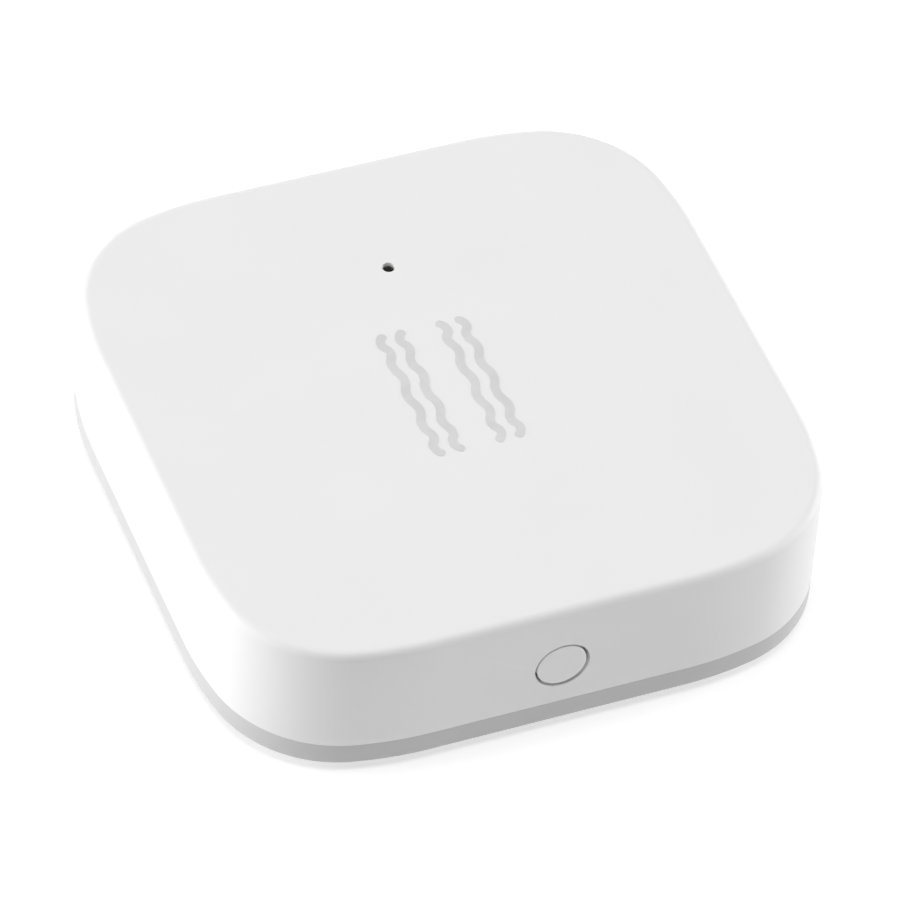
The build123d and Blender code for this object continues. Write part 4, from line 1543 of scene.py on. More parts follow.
@dataclass
class BaseCover(SubAssembly):
    """Grey cover with rim band, snap lip and cell rib, its foam pad and the cell's cushion."""

    lip_inset: float = 1.6
    lip_wall: float = 1.0
    lip_edge: float = 0.12
    recess_inset: float = 2.8
    recess_edge: float = 0.03
    foot_radius: float = 0.3
    foot_flat: float = 0.05
    edge: float = 0.008
    seam_fillet: float = 0.1
    floor_fillet: float = 0.2
    slot_places: tuple[float, ...] = (-7.45, -3.75, 3.75, 7.45)
    slot_half: float = 0.35
    slot_depth: Pair = (15.0, 16.7)
    slot_top: float = 5.0
    front_half: float = 4.1
    notch_half: float = 3.1
    notch_depth: float = 17.6
    notch_radius: float = 0.4
    notch_drop: float = 0.7
    notch_end: float = 19.0
    hook_half: float = 1.49
    hook_edge: float = 0.03
    rib_radii: Pair = (8.6, 7.9)
    rib_gap: float = 1.5
    rib_edge: float = 0.04
    rib_root: float = 0.02
    rib_clearance: float = 0.1
    pad_gap: float = 0.15
    pad_edge: float = 0.04
    cushion_radius: float = 6.0
    cushion_height: float = 0.3
    cushion_edges: Pair = (0.02, 0.06)

    def build(self) -> None:
        """Sweep the cover and the pad, and turn the cushion."""
        self.place("cover_base", self.cover(), Finishes.BASE, Body.BASE, ["base_cover"], "grey_shell")
        self.place("foam_pad", self.pad(), Finishes.PAD, Body.BASE, ["adhesive_pad"], "pad_foam")
        low, high, middle = LEVEL.floor, LEVEL.floor + self.cushion_height, (0.0, CELL_PLACE)
        cushion = Clay().disc(self.cushion_radius, middle, low, high, self.cushion_edges, SMOOTH_STEPS)
        self.place("foam_cushion", cushion, Finishes.CUSHION, Body.BASE, ["cell_cushion"], "cushion_foam")

    def cover(self) -> Clay:
        """The swept cover with its slots, notch, hooks and rib.

        Returns:
            Its shape.
        """
        base, seam, edge, foot = LEVEL.base, LEVEL.seam, self.edge, self.foot_radius
        fillet, lip_edge, lip = self.seam_fillet, self.lip_edge, LEVEL.lip - self.lip_edge
        front, back = self.lip_inset, self.lip_inset + self.lip_wall
        recess, bevel = self.recess_inset, self.recess_edge
        rows = [Row(MIDDLE_INSET, LEVEL.pad_seat), Row(recess, LEVEL.pad_seat), Row(recess, base + bevel)]
        rows += [Row(recess - bevel, base), Row(foot + self.foot_flat, base)]
        rows += bend((foot, base + foot), foot, 270.0, 180.0, 6)
        rows += bend((edge, seam - edge), edge, 180.0, 90.0, 3) + [Row(front - fillet, seam)]
        rows += bend((front - fillet, seam + fillet), fillet, 270.0, 360.0, 3)
        rows += bend((front + lip_edge, lip), lip_edge, 180.0, 90.0, 3)
        rows += bend((back - lip_edge, lip), lip_edge, 90.0, 0.0, 3)
        turn, floor = self.floor_fillet, LEVEL.floor
        rows += bend((back + turn, floor + turn), turn, 180.0, 270.0, 3) + [Row(MIDDLE_INSET, floor)]
        clay = self.swept(rows, Finishes.BASE).cap()
        clay.cut(self.slots())
        self.hooks(clay)
        self.rib(clay)
        return clay

    def slots(self) -> Clay:
        """Cutter of the gaps beside the hooks, the front opening and the pry notch.

        Returns:
            The cutter.
        """
        clay, (near, far), top = Clay(), self.slot_depth, self.slot_top
        for turn in QUARTERS:
            for place in self.slot_places:
                if turn < QUARTERS[3] or abs(place) > HOOK_PLACE:
                    first, last = place - self.slot_half, place + self.slot_half
                    clay.box((near, first, LEVEL.seam), (far, last, top), 0.0, turn)
        clay.box((-self.front_half, -far, LEVEL.seam), (self.front_half, -near, top))
        side = arc_points((self.notch_half, self.notch_depth), self.notch_radius, -90, 0)
        side.append((self.notch_half + self.notch_radius, self.notch_end))
        outline = [(-x, y) for x, y in reversed(side)] + side
        return clay.slab(outline, LEVEL.seam - self.notch_drop, LEVEL.seam)

    def hooks(self, clay: Clay) -> None:
        """Add the snap ridges, two on each side.

        Args:
            clay: the cover.
        """
        for turn in QUARTERS:
            for place in (-HOOK_PLACE, HOOK_PLACE):
                ridge = Clay().slab(HOOK_OUTLINE, -self.hook_half, self.hook_half, self.hook_edge)
                spin = Matrix.Rotation(math.radians(turn), 4, "Z") @ Matrix.Translation((0, place, 0))
                clay.take(ridge.moved(spin @ TO_FRONT).outward())

    def rib(self, clay: Clay) -> None:
        """Add the low ring that stops the cell, broken at four places.

        Args:
            clay: the cover.
        """
        outer, inner = self.rib_radii
        low, high = LEVEL.floor - self.rib_root, LEVEL.cell - self.rib_clearance
        gap = math.degrees(math.asin(self.rib_gap / outer))
        for turn in QUARTERS:
            first, last = 45.0 + gap + turn, 135.0 - gap + turn
            outline = arc_points((0.0, CELL_PLACE), outer, first, last, 20)
            outline += arc_points((0.0, CELL_PLACE), inner, last, first, 20)
            clay.slab(outline, low, high, self.rib_edge)

    def pad(self) -> Clay:
        """Foam tape with slightly pressed edges.

        Returns:
            Its shape.
        """
        edge, side, top = self.pad_edge, self.recess_inset + self.pad_gap + self.pad_edge, LEVEL.pad_seat
        rows = [Row(MIDDLE_INSET, 0.0), Row(side + edge, 0.0)] + bend((side, edge), edge, 270.0, 180.0, 3)
        rows += bend((side, top - edge), edge, 180.0, 90.0, 3) + [Row(MIDDLE_INSET, top)]
        return self.swept(rows, Finishes.PAD).cap()


@dataclass
class Key(SubAssembly):
    """Round key in the front wall with its flange behind it."""

    radius: float = 1.43
    face: float = -17.984
    hollow: Pair = (0.012, 0.005)
    hollow_share: float = 0.6
    flange_front: float = -16.65
    flange_back: float = -16.05
    flange_half: Pair = (1.4, 1.1)
    flange_corner: float = 0.8
    flange_edge: float = 0.05
    overlap: float = 0.1
    edge: float = 0.06
    shift: Pair = (-0.045, 0.055)

    def build(self) -> None:
        """Turn the stem, dished by a hair, and add the flange."""
        stem_back = self.flange_front + self.overlap
        dish, ease = self.hollow
        rows = [(0.0, self.face + dish), (self.radius * self.hollow_share, self.face + ease)]
        rows += arc_points((self.radius - self.edge, self.face + self.edge), self.edge, -90, 0)
        rows += [(self.radius, stem_back), (0.0, stem_back)]
        middle = (self.shift[0], 0.0, LEVEL.button + self.shift[1])
        clay = Clay().lathe(rows, middle, SMOOTH_STEPS, TO_FRONT)
        corners: list[Pair] = []
        for turn, side, lift in zip(QUARTERS, (1, -1, -1, 1), (1, 1, -1, -1)):
            corner = (side * self.flange_half[0], lift * self.flange_half[1])
            corners += arc_points(corner, self.flange_corner, turn, turn + 90, 6)
        flange = Clay().slab(corners, self.flange_front, self.flange_back, self.flange_edge)
        clay.take(flange.moved(Matrix.Translation((0.0, 0.0, LEVEL.button)) @ TO_FRONT).outward())
        self.place("side_key", clay, Finishes.KEY, Body.BUTTON, ["button_cap"], "white_shell")


@dataclass
class LightPipe(SubAssembly):
    """Smoked clear plug under the hole in the roof."""

    foot: float = 7.0
    nose: float = LEVEL.roof - 0.18
    radii: tuple[float, float, float] = (1.1, 0.65, 0.31)
    edges: tuple[float, float, float, float] = (0.05, 0.04, 0.03, 0.04)

    def build(self) -> None:
        """Turn the plug."""
        flange, body, nose = self.radii
        low, rim, shoulder, tip = self.edges
        rows = [(0.0, self.foot), (flange - low, self.foot), (flange, self.foot + low)]
        rows += [(flange, LEVEL.boss - rim), (flange - rim, LEVEL.boss), (body, LEVEL.boss)]
        rows += [(body, LEVEL.pipe_shoulder - shoulder), (body - shoulder, LEVEL.pipe_shoulder)]
        rows += [(nose, LEVEL.pipe_shoulder)] + arc_points((nose - tip, self.nose - tip), tip, 0, 90, 3)
        clay = Clay().lathe(rows + [(0.0, self.nose)], (0.0, LIGHT_PLACE, 0.0))
        self.place("light_plug", clay, Finishes.PIPE, Body.HOUSING, ["light_pipe"], "smoked_clear")


@dataclass
class Electronics(SubAssembly):
    """Board, its packages and the side switch, under the roof."""

    board_half: float = 16.15
    board_edge: float = 0.03
    notch_half: float = 3.28
    notch_depth: Pair = (-18.0, -15.5)
    cut_levels: Pair = (5.0, 7.0)
    post_hole: float = 0.75
    screw_hole: float = 0.8

    def build(self) -> None:
        """Make the board and soften the edges of what stands on it."""
        self.place("circuit_board", self.board(), Finishes.MASK, Body.HOUSING, ["main_board"], "solder_mask")
        self.soften((
            Softened("bulk_capacitor", Finishes.TANTALUM, "capacitor_yellow", 0.1),
            Softened("switch_cover", Finishes.STEEL, "sheet_steel", 0.04),
            Softened("switch_body", Finishes.NYLON, "switch_black", 0.04),
            Softened("radio_crystal", Finishes.LID, "crystal_metal", 0.05),
            Softened("clock_crystal", Finishes.LID, "crystal_metal", 0.05),
            Softened("power_inductor", Finishes.FERRITE, "ferrite", 0.08),
            Softened("status_led", Finishes.RESIN, "led_resin", 0.05),
        ))

    def board(self) -> Clay:
        """Board with its notch and holes.

        Returns:
            Its shape.
        """
        inset, edge = PLAN.half_side - self.board_half, self.board_edge
        under, top = LEVEL.board, LEVEL.board_top
        rows = [Row(MIDDLE_INSET, under), Row(inset + edge, under), Row(inset, under + edge)]
        rows += [Row(inset, top - edge), Row(inset + edge, top), Row(MIDDLE_INSET, top)]
        low, high = self.cut_levels
        near, far = self.notch_depth
        tool = Clay().box((-self.notch_half, near, low), (self.notch_half, far, high))
        for x in HANDS:
            for y in HANDS:
                radius = self.post_hole if x == y else self.screw_hole
                tool.disc(radius, (x * FIXING_PLACE, y * FIXING_PLACE), low, high)
        return self.swept(rows, Finishes.MASK).cap().cut(tool)


@dataclass(frozen=True)
class Package:
    """Footprint of one package on the board: its middle and its size."""

    middle: Pair
    size: Pair
    first_pin: bool = False

    def frame_lines(self, gap: float, level: float) -> list[list[Point]]:
        """Lines of a printed frame round the footprint, open at its corners.

        Args:
            gap: distance from the footprint.
            level: height of the lines.

        Returns:
            Points of the four sides.
        """
        half_x, half_y = self.size[0] / 2 + gap, self.size[1] / 2 + gap
        corners = [(self.middle[0] + x * half_x, self.middle[1] + y * half_y) for x, y in SQUARE]
        lines = []
        for (x, y), (end_x, end_y) in zip(corners, corners[1:] + corners[:1]):
            shares = [step / 4 for step in range(5)]
            lines.append([(x + (end_x - x) * share, y + (end_y - y) * share, level) for share in shares])
        return lines


def track(start: Pair, end: Pair, level: float, lead: float) -> list[Point]:
    """Line of a copper track: straight, then at 45 degrees, then straight.

    Args:
        start: first point.
        end: last point.
        level: height of its lower face.
        lead: share of the straight length that comes before the slanted stretch.

    Returns:
        Its points.
    """
    across, along = end[0] - start[0], end[1] - start[1]
    slant = min(abs(across), abs(along))
    step = (math.copysign(slant, across), math.copysign(slant, along))
    first = (start[0] + (across - step[0]) * lead, start[1] + (along - step[1]) * lead)
    second = (first[0] + step[0], first[1] + step[1])
    points = [start, first, second, end]
    kept = [start] + [after for before, after in zip(points, points[1:]) if math.dist(before, after) > 1e-3]
    return [(x, y, level) for x, y in kept]


def parallel_tracks(spine: Sequence[Pair], count: int, level: float) -> list[list[Point]]:
    """Lines of tracks that run side by side round the bends of a spine.

    Args:
        spine: points of the middle line.
        count: tracks in the bus.
        level: height of their lower face.

    Returns:
        Points of each track.
    """
    points = [Vector(point) for point in spine]
    ways = [(after - before).normalized() for before, after in zip(points, points[1:])]
    sides = []
    for before, after in zip(ways[:1] + ways, ways + ways[-1:]):
        side = Vector((-before.y - after.y, before.x + after.x)).normalized()
        sides.append(side / side.dot(Vector((-after.y, after.x))))
    shifts = [(row - (count - 1) / 2) * BUS_PITCH for row in range(count)]
    return [[(*(point + side * shift), level) for point, side in zip(points, sides)] for shift in shifts]


@dataclass(frozen=True)
class Fan:
    """Tracks that spread from one row of pads to another."""

    start: Pair
    end: Pair
    start_step: Pair
    end_step: Pair
    count: int
    lead: float = 0.4
    lead_step: float = 0.0

    def routes(self) -> list[tuple[Pair, Pair, float]]:
        """Start, end and lead of each track.

        Returns:
            The routes in order.
        """
        routes = []
        for index in range(self.count):
            start = (self.start[0] + self.start_step[0] * index, self.start[1] + self.start_step[1] * index)
            end = (self.end[0] + self.end_step[0] * index, self.end[1] + self.end_step[1] * index)
            routes.append((start, end, self.lead + self.lead_step * index))
        return routes


PACKAGES = (
    Package((-4.36, -1.94), (6.4, 6.4), True),
    Package((-4.85, -9.37), (4.4, 3.0), True),
    Package((3.88, -2.91), (3.4, 3.4), True),
    Package((-10.98, -1.94), (3.2, 2.5)),
    Package((-11.3, 2.26), (3.2, 1.5)),
    Package((4.85, -10.66), (3.0, 3.0)),
    Package((10.66, -7.43), (3.5, 2.8)),
    Package((0.0, LIGHT_PLACE), (1.6, 0.8)),
)

# Artwork of the board: middle line and number of the tracks in each bus, then start, end and lead of the
# single tracks, start and end of the broad ones, and places of the plated holes.
BUS_PITCH = 0.55
BUSES = (
    (((-6.0, -12.0), (-8.8, -12.0), (-12.6, -8.2), (-12.6, -3.9)), 4),
    (((2.4, 14.2), (5.8, 14.2), (12.9, 7.1), (12.9, -3.0)), 4),
    (((-5.2, 5.6), (-1.2, 5.6), (1.4, 8.2), (4.6, 8.2)), 5),
    (((-5.6, -4.9), (-1.4, -4.9), (-0.2, -6.1), (4.4, -6.1)), 3),
)
FANS = (
    Fan((-6.11, -5.2), (-6.0, -7.8), (0.5, 0.0), (0.45, 0.0), 7),
    Fan((-1.2, -3.19), (2.2, -3.9), (0.0, 0.5), (0.0, 0.34), 7, 0.4, 0.04),
    Fan((-6.11, 1.2), (-6.36, 2.5), (1.0, 0.0), (1.0, 0.0), 4, 0.5),
    Fan((-10.69, -7.9), (-11.16, -6.6), (1.0, 0.0), (1.0, 0.0), 3, 0.5),
    Fan((3.2, -1.2), (3.2, 0.6), (0.6, 0.0), (1.0, 0.0), 3),
)
TOP_ROUTES = (
    ((-2.61, 1.2), (-2.36, 2.5), 0.5),
    ((-7.5, -2.2), (-9.3, -2.5), 0.5), ((-7.5, -1.7), (-9.3, -1.4), 0.5), ((-7.5, -0.7), (-9.6, 2.0), 0.2),
    ((-7.5, -0.2), (-9.6, 2.5), 0.1), ((-7.5, 0.3), (-8.4, 6.4), 0.0), ((-7.5, -3.7), (-9.16, -5.5), 0.5),
    ((-7.5, -3.2), (-10.16, -5.5), 0.5), ((-6.61, 1.2), (-7.2, 8.0), 0.0), ((0.7, 9.35), (2.4, 4.4), 0.4),
    ((-0.7, 9.35), (-2.0, 3.9), 0.5), ((5.5, -3.4), (10.5, 1.2), 0.9), ((5.5, -2.9), (9.5, 1.2), 0.5),
    ((5.5, -2.4), (8.5, 1.2), 0.0), ((1.8, -9.9), (3.2, -10.6), 0.6), ((-1.4, -9.7), (-2.6, -9.4), 0.5),
    ((-0.18, -9.2), (0.5, -5.4), 0.4), ((-8.4, -8.6), (-7.2, -9.2), 0.6), ((9.66, -3.3), (9.66, -5.9), 0.5),
    ((11.66, -2.5), (13.6, 3.4), 0.4), ((11.5, 2.0), (9.4, 9.8), 0.4),
)
UNDER_ROUTES = (
    ((4.84, -12.5), (2.2, -7.2), 0.4), ((6.62, -12.5), (7.4, -8.9), 0.5), ((8.4, -12.5), (13.4, -5.4), 0.4),
    ((-2.6, -12.2), (-4.4, -11.0), 0.5), ((-2.6, -14.2), (-8.6, -14.6), 0.5),
    ((-9.6, 13.4), (-13.6, 7.0), 0.4),
)
TOP_POWER = (((6.2, -10.66), (8.9, -7.6)), ((12.2, -7.4), (13.8, -1.0)))
UNDER_POWER = (
    ((-13.75, 0.2), (-14.2, -6.4)), ((-12.6, 2.4), (-12.6, 7.2)),
    ((4.6, 1.6), (7.2, 3.4)), ((-4.6, 1.6), (-6.8, -0.4)),
)
TOP_HOLES = (
    (-8.4, 6.4), (-2.0, 3.9), (2.4, 4.4), (9.4, 9.8), (13.6, 3.4), (13.8, -1.0), (0.5, -5.4), (2.2, -7.2),
    (7.4, -8.9), (-14.2, -6.4), (-12.6, 7.2), (7.2, 3.4), (-6.8, -0.4), (-4.4, -11.0),
)
UNDER_HOLES = ((-13.6, 7.0), (-9.6, 13.4), (-8.6, -14.6), (13.4, -5.4))
CHIP_HOLES = tuple((-5.5 + 1.1 * x, -3.2 + 1.1 * y) for x in range(3) for y in range(3))


@dataclass
class BoardArt(SubAssembly):
    """Tracks, holes, printed frames and solder lands on both faces of the board."""

    copper: float = 0.025
    sunk: float = 0.001
    fine: float = 0.16
    fine_step: float = 0.25
    broad: float = 0.7
    broad_step: float = 0.08
    edge_inset: float = 2.35
    antenna_half: float = 9.5
    antenna_front: float = 12.0
    edge_hole_step: int = 4
    ring_radius: float = 0.24
    ring_lift: float = 0.015
    ring_flats: int = 16
    bore_radius: float = 0.11
    bore_lift: float = 0.018
    bore_flats: int = 12
    dot_height: float = 0.04
    legend_width: float = 0.13
    legend_height: float = 0.03
    legend_step: float = 0.05
    frame_gap: float = 0.35
    pin_radius: float = 0.2
    pin_flats: int = 20
    pin_place: Pair = (0.75, 0.1)
    cell_ring: float = 11.6
    cell_arc: Pair = (10.0, 76.0)
    cell_arc_steps: int = 24
    cell_ring_end: float = -11.2
    sign_place: Pair = (-14.0, 4.3)
    sign_reach: Pair = (0.08, 0.6)
    land_root: float = 0.01
    under_land: Pair = (0.06, 0.03)
    top_land: Pair = (0.05, 0.02)
    contact_depth: Pair = (-0.15, 3.35)
    positive_land: Pair = (-13.75, -11.5)
    negative_lands: Pair = (2.9, 5.35)
    switch_lands: Pair = (2.2, 2.75)
    switch_rows: tuple[Pair, ...] = ((-15.1, -14.2), (-13.7, -12.8))
    chip_land: Pair = (0.5, 0.25)
    chip_land_trim: float = 0.15

    def build(self) -> None:
        """Lay each kind of artwork as its own piece."""
        top, under = LEVEL.board_top - self.sunk, LEVEL.board + self.sunk - self.copper
        fine = self.top_tracks(top) + self.under_tracks(under)
        power = [[(*start, top), (*end, top)] for start, end in TOP_POWER]
        power += [[(*start, under), (*end, under)] for start, end in UNDER_POWER]
        clay = self.stroked(fine, self.fine, self.copper, self.fine_step, Finishes.TRACK)
        self.lay("fine_tracks", clay, Finishes.TRACK, "solder_mask")
        clay = self.stroked(power, self.broad, self.copper, self.broad_step, Finishes.TRACK)
        self.lay("power_tracks", clay, Finishes.TRACK, "solder_mask")
        places = self.both_faces(self.ring_lift)
        clay = self.dotted(places, self.ring_radius, self.dot_height, self.ring_flats, Finishes.TRACK)
        self.lay("hole_rings", clay, Finishes.TRACK, "solder_mask")
        places = self.both_faces(self.bore_lift)
        clay = self.dotted(places, self.bore_radius, self.dot_height, self.bore_flats, Finishes.BORE)
        self.lay("hole_bores", clay, Finishes.BORE, "solder_mask")
        thick = self.legend_height
        clay = self.stroked(self.legend(), self.legend_width, thick, self.legend_step, Finishes.LEGEND)
        marks = self.dotted(self.pin_marks(), self.pin_radius, thick, self.pin_flats, Finishes.LEGEND)
        self.lay("printed_frames", clay.take(marks).outward(), Finishes.LEGEND, "print_grey")
        self.lay("solder_lands", self.lands(), Finishes.TIN, "tinned_metal")

    def lay(self, title: str, clay: Clay, finish: Finish, slot: str) -> None:
        """Place one kind of artwork; it rides the housing and stands for no node."""
        self.place(title, clay, finish, Body.HOUSING, (), slot)

    def dotted(
        self, places: Sequence[Point], radius: float, height: float, flats: int, finish: Finish
    ) -> Clay:
        """Round dots on places, with a number of flats round each."""
        return Clay(self.trees.dots.scatter(places, radius, height, flats, finish))

    def top_tracks(self, level: float) -> list[list[Point]]:
        """Signal tracks on the upper face.

        Args:
            level: height of their lower face.

        Returns:
            Points of each.
        """
        routes = [route for fan in FANS for route in fan.routes()] + list(TOP_ROUTES)
        return [track(start, end, level, lead) for start, end, lead in routes] + [self.edge_line(level)]

    def under_tracks(self, level: float) -> list[list[Point]]:
        """Signal tracks on the lower face.

        Args:
            level: height of their lower face.

        Returns:
            Points of each.
        """
        lines = [track(start, end, level, lead) for start, end, lead in UNDER_ROUTES]
        for spine, count in BUSES:
            lines += parallel_tracks(spine, count, level)
        return lines + [self.edge_line(level)]

    def edge_line(self, level: float) -> list[Point]:
        """Ground line that follows the board's edge, open behind at the antenna.

        Args:
            level: its height.

        Returns:
            Its points, from one side of the antenna to the other.
        """
        soft, tight, run = PLAN.centres()
        turn, points = PLAN.side_turn, []
        wide, narrow = PLAN.side_radius - self.edge_inset, PLAN.tip_radius - self.edge_inset
        for quarter in QUARTERS:
            spin = Matrix.Rotation(math.radians(quarter), 3, "Z")
            corner = arc_points((soft, run), wide, 0, turn, 3)
            corner += arc_points((tight, tight), narrow, turn, 90 - turn, 10)
            corner += arc_points((run, soft), wide, 90 - turn, 90, 3)
            points += [spin @ Vector((x, y, 0.0)) for x, y in corner]
        ring_points = [p for p in points if abs(p.x) >= self.antenna_half or p.y <= self.antenna_front]
        start = next(index for index, p in enumerate(ring_points) if p.x < 0 < p.y)
        return [(p.x, p.y, level) for p in ring_points[start:] + ring_points[:start]]

    def both_faces(self, lift: float) -> list[Point]:
        """Places of the plated holes on both faces of the board.

        Args:
            lift: how far they stand off the face.

        Returns:
            The places.
        """
        places = [*TOP_HOLES, *CHIP_HOLES, *UNDER_HOLES]
        for spine, count in BUSES:
            for line in parallel_tracks(spine, count, 0.0):
                places += [line[0][:2], line[-1][:2]]
        places += [(x, y) for x, y, _ in self.edge_line(0.0)[:: self.edge_hole_step]]
        return [(x, y, z) for x, y in places for z in (LEVEL.board_top + lift, LEVEL.board - lift)]

    def legend(self) -> list[list[Point]]:
        """Printed frames round the packages, with arcs and a plus sign round the cell.

        Returns:
            Points of each line.
        """
        lines, under = [], LEVEL.board - self.legend_height
        for package in PACKAGES:
            lines += package.frame_lines(self.frame_gap, LEVEL.board_top)
        first, last = self.cell_arc
        for turn in QUARTERS:
            ends = (first + turn, last + turn)
            arc = arc_points((0.0, CELL_PLACE), self.cell_ring, *ends, self.cell_arc_steps)
            lines.append([(x, y, under) for x, y in arc if x > self.cell_ring_end])
        (x, y), (near, far) = self.sign_place, self.sign_reach
        lines.append([(x - far, y, under), (x + far, y, under)])
        lines += [[(x, y + hand * near, under), (x, y + hand * far, under)] for hand in HANDS]
        return lines

    def pin_marks(self) -> list[Point]:
        """Places of the dots beside the first pin of each chip.

        Returns:
            The places.
        """
        marks = []
        for package in PACKAGES:
            if package.first_pin:
                x = package.middle[0] - package.size[0] / 2 - self.pin_place[0]
                y = package.middle[1] + package.size[1] / 2 + self.pin_place[1]
                marks.append((x, y, LEVEL.board_top))
        return marks

    def lands(self) -> Clay:
        """Solder lands under the contacts' feet, the switch and the packages.

        Returns:
            Their shape.
        """
        thick, edge = self.under_land
        low, high = LEVEL.board - thick, LEVEL.board + self.land_root
        near, far = self.contact_depth
        (left, right), (inner, outer) = self.positive_land, self.chip_land
        clay = Clay().box((left, near, low), (right, far, high), edge)
        clay.pair(self.negative_lands, (near, low), (far, high), edge)
        for front, back in self.switch_rows:
            clay.pair(self.switch_lands, (front, low), (back, high), edge)
        thick, edge = self.top_land
        low, high = LEVEL.board_top - self.land_root, LEVEL.board_top + thick
        for package in PACKAGES[3:]:
            (x, y), reach = package.middle, package.size[0] / 2
            half = package.size[1] / 2 - self.chip_land_trim
            clay.pair((reach - inner, reach + outer), (y - half, low), (y + half, high), edge, x)
        return clay


@dataclass
class Hardware(SubAssembly):
    """Screws, holder ring, contacts and the switch's plunger."""

    def build(self) -> None:
        """Soften the edges of each."""
        self.soften((
            Softened("board_screws", Finishes.SCREW, "screw_steel", 0.04),
            Softened("battery_holder", Finishes.NYLON, "holder_black", 0.1),
            Softened("positive_contact", Finishes.STEEL, "sheet_steel", 0.04),
            Softened("negative_contact", Finishes.STEEL, "sheet_steel", 0.04),
            Softened("switch_plunger", Finishes.PLUNGER, "plunger_white", 0.05, Body.PLUNGER),
        ))


@dataclass
class CoinCell(SubAssembly):
    """Coin cell: pressed can, cap and gasket."""

    can: tuple[Pair, ...] = (
        (0.0, 0.02), (8.6, 0.02), (8.75, 0.0), *arc_points((9.6, 0.4), 0.4, -90, 0, 6),
        *arc_points((9.55, 2.45), 0.45, 0, 90, 6), (9.4, 2.9), (9.4, 2.66), (9.75, 2.4), (9.75, 0.25),
        (0.0, 0.25),
    )
    cap: tuple[Pair, ...] = (
        (0.0, 3.2), (7.6, 3.2), (7.8, 3.17), *arc_points((8.7, 2.9), 0.3, 90, 0),
        (9.0, 0.85), (8.75, 0.85), (8.75, 2.95), (0.0, 2.95),
    )

    def build(self) -> None:
        """Turn the can and the cap, and soften the gasket."""
        middle = (0.0, CELL_PLACE, LEVEL.cell)
        for title, rows, finish in (("can", self.can, Finishes.CAN), ("cap", self.cap, Finishes.CAP)):
            clay = Clay().lathe(rows, middle, SMOOTH_STEPS)
            self.place(f"cell_{title}_look", clay, finish, Body.BATTERY, [f"cell_{title}"], "cell_steel")
        self.soften((Softened("cell_gasket", Finishes.GASKET, "gasket_plastic", 0.03, Body.BATTERY),))


BARE_NODES = {
    Finishes.EPOXY: ("radio_chip", "memory_chip", "accelerometer"),
    Finishes.TIN: ("chip_leads", "chip_terminals"),
    Finishes.CERAMIC: ("chip_capacitors",),
    Finishes.GLAZE: ("chip_resistors",),
    Finishes.TRACK: ("antenna_trace",),
    Finishes.GOLD: ("test_pads",),
    Finishes.STEEL: ("switch_dome",),
    Finishes.CATHODE: ("cathode_disc",),
    Finishes.LITHIUM: ("lithium_disc",),
}


def direction(azimuth: float, elevation: float) -> Vector:
    """Unit vector from the sensor towards a place round it.

    Args:
        azimuth: 0 in front, 90 to the right, in degrees.
        elevation: degrees above the floor.

    Returns:
        The vector.
    """
    turn, lift = math.radians(azimuth), math.radians(elevation)
    return Vector((math.sin(turn) * math.cos(lift), -math.cos(turn) * math.cos(lift), math.sin(lift)))


@dataclass(frozen=True)
class Camera:
    """The camera that took the photograph, measured from the sensor's outline; lens in millimetres."""

    azimuth: float = -24.75651
    elevation: float = 46.64809
    roll: float = 5.05916
    distance: float = 375.37
    aim: Pair = (0.32139, -1.24299)
    aim_height: float = 5.5
    lens: float = 269.825
    film: float = 36.0
    reach: Pair = (0.02, 20.0)

    def build(self) -> None:
        """Place the camera and make it the scene's own."""
        back, roll = direction(self.azimuth, self.elevation), math.radians(self.roll)
        side = (-back).cross(Vector((0, 0, 1))).normalized()
        top = side.cross(-back)
        right = side * math.cos(roll) + top * math.sin(roll)
        up = top * math.cos(roll) - side * math.sin(roll)
        target = Vector((0, 0, self.aim_height)) + right * self.aim[0] + up * self.aim[1]
        data = bpy.data.cameras.new("camera")
        data.lens, data.sensor_width, data.sensor_fit = self.lens, self.film, "HORIZONTAL"
        data.clip_start, data.clip_end = self.reach
        camera = linked("camera", data)
        frame_axes = Matrix((right, up, back)).transposed().to_4x4()
        camera.matrix_world = Matrix.Translation((target + back * self.distance) * MM) @ frame_axes
        bpy.context.scene.camera = camera


@dataclass(frozen=True)
class SoftBox:
    """A square area light aimed at the sensor; size and distance in metres."""

    title: str
    azimuth: float
    elevation: float
    power: float
    size: float = 0.35
    distance: float = 0.6

    def build(self) -> None:
        """Hang the light."""
        way = direction(self.azimuth, self.elevation)
        data = bpy.data.lights.new(self.title, "AREA")
        data.shape, data.size, data.energy = "SQUARE", self.size, self.power
        lamp = linked(self.title, data)
        lamp.location = way * self.distance
        lamp.rotation_euler = way.to_track_quat("Z", "Y").to_euler()


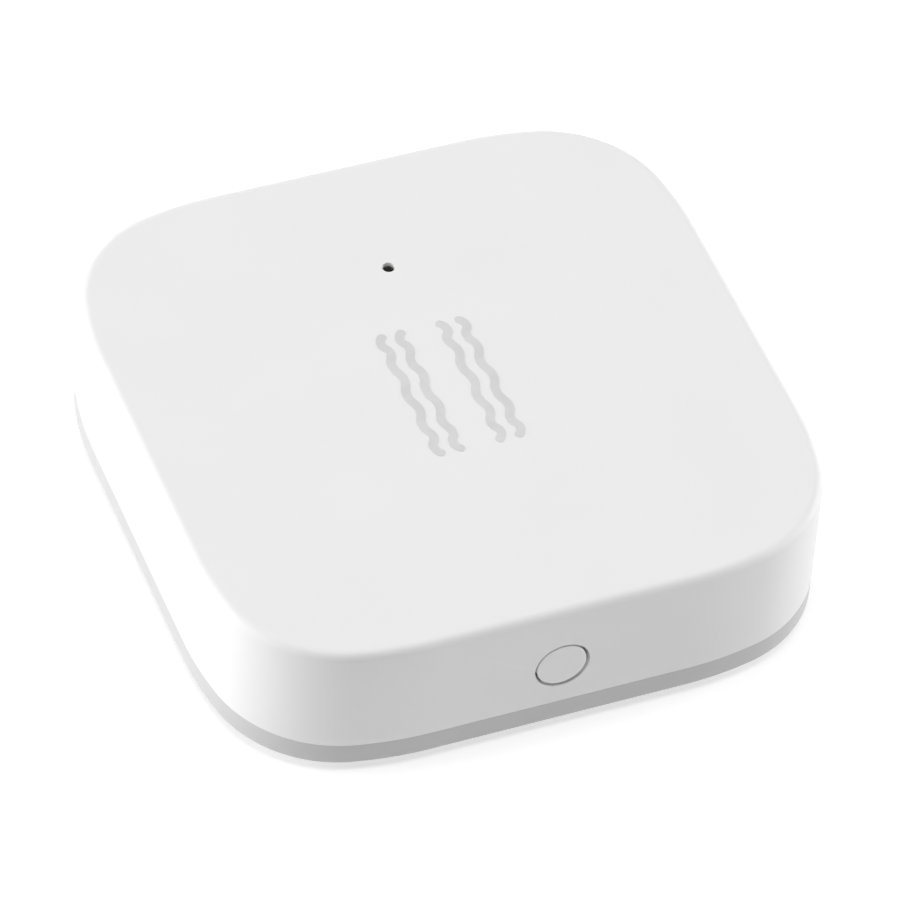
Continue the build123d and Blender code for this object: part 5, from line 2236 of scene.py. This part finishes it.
@dataclass(frozen=True)
class Backdrop(Finish):
    """Matt white paper that glows faintly, as on a light table."""

    glow: float = 0.5
    gloss: float = 0.1
    fibre_size: float = 0.4

    def paint(self, skin: Skin) -> Coat:
        """Fine paper grain.

        Args:
            skin: the nodes.

        Returns:
            The coat.
        """
        fibre = skin.grain(skin.place, self.fibre_size, detail=3.0)
        return Coat(self.colour, self.roughness + (fibre - 0.5) * 0.1)

    def constants(self) -> dict[str, float]:
        """The glow, which keeps the paper white, and little gloss."""
        return {"Emission Strength": self.glow, "Specular IOR Level": self.gloss}


@dataclass(frozen=True)
class Studio:
    """White paper floor and soft boxes; the surroundings are dark."""

    paper: Backdrop = Backdrop("paper_white", (0.65, 0.65, 0.65), 0.85)
    reach: float = 1.5
    boxes: tuple[SoftBox, ...] = (
        SoftBox("left_box", -115.0, 12.0, 3.1),
        SoftBox("left_back_high_box", -135.0, 45.0, 0.259),
        SoftBox("left_high_box", -90.0, 45.0, 0.347),
        SoftBox("right_box", 88.0, 12.0, 2.3),
        SoftBox("right_high_box", 90.0, 45.0, 0.344),
        SoftBox("top_box", 0.0, 88.0, 2.12),
    )

    def build(self) -> None:
        """Lay the floor, hang the boxes and turn off the surroundings."""
        mesh = bpy.data.meshes.new("floor")
        corners = [(x * self.reach, y * self.reach, 0.0) for x, y in SQUARE]
        mesh.from_pydata(corners, [], [(0, 1, 2, 3)])
        mesh.materials.append(self.paper.material())
        linked("floor", mesh)
        for box in self.boxes:
            box.build()
        world = bpy.data.worlds.new("surrounding")
        world.use_nodes = True
        world.node_tree.nodes["Background"].inputs["Strength"].default_value = 0.0
        bpy.context.scene.world = world
        view = bpy.context.scene.view_settings
        view.view_transform, view.look = "Standard", "None"


def build_scene() -> None:
    """Build the sensor, its studio and the camera."""
    logging.basicConfig(level=logging.INFO, format="%(message)s")
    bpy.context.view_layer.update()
    for finish, nodes in BARE_NODES.items():
        dress(finish, nodes)
    trees = Trees(PlanSweep(), Ribbon(), Dots())
    for group in (Housing, BaseCover, Key, LightPipe, Electronics, BoardArt, Hardware, CoinCell):
        group(trees).build()
    Studio().build()
    Camera().build()


if __name__ == "__main__":
    build_scene()
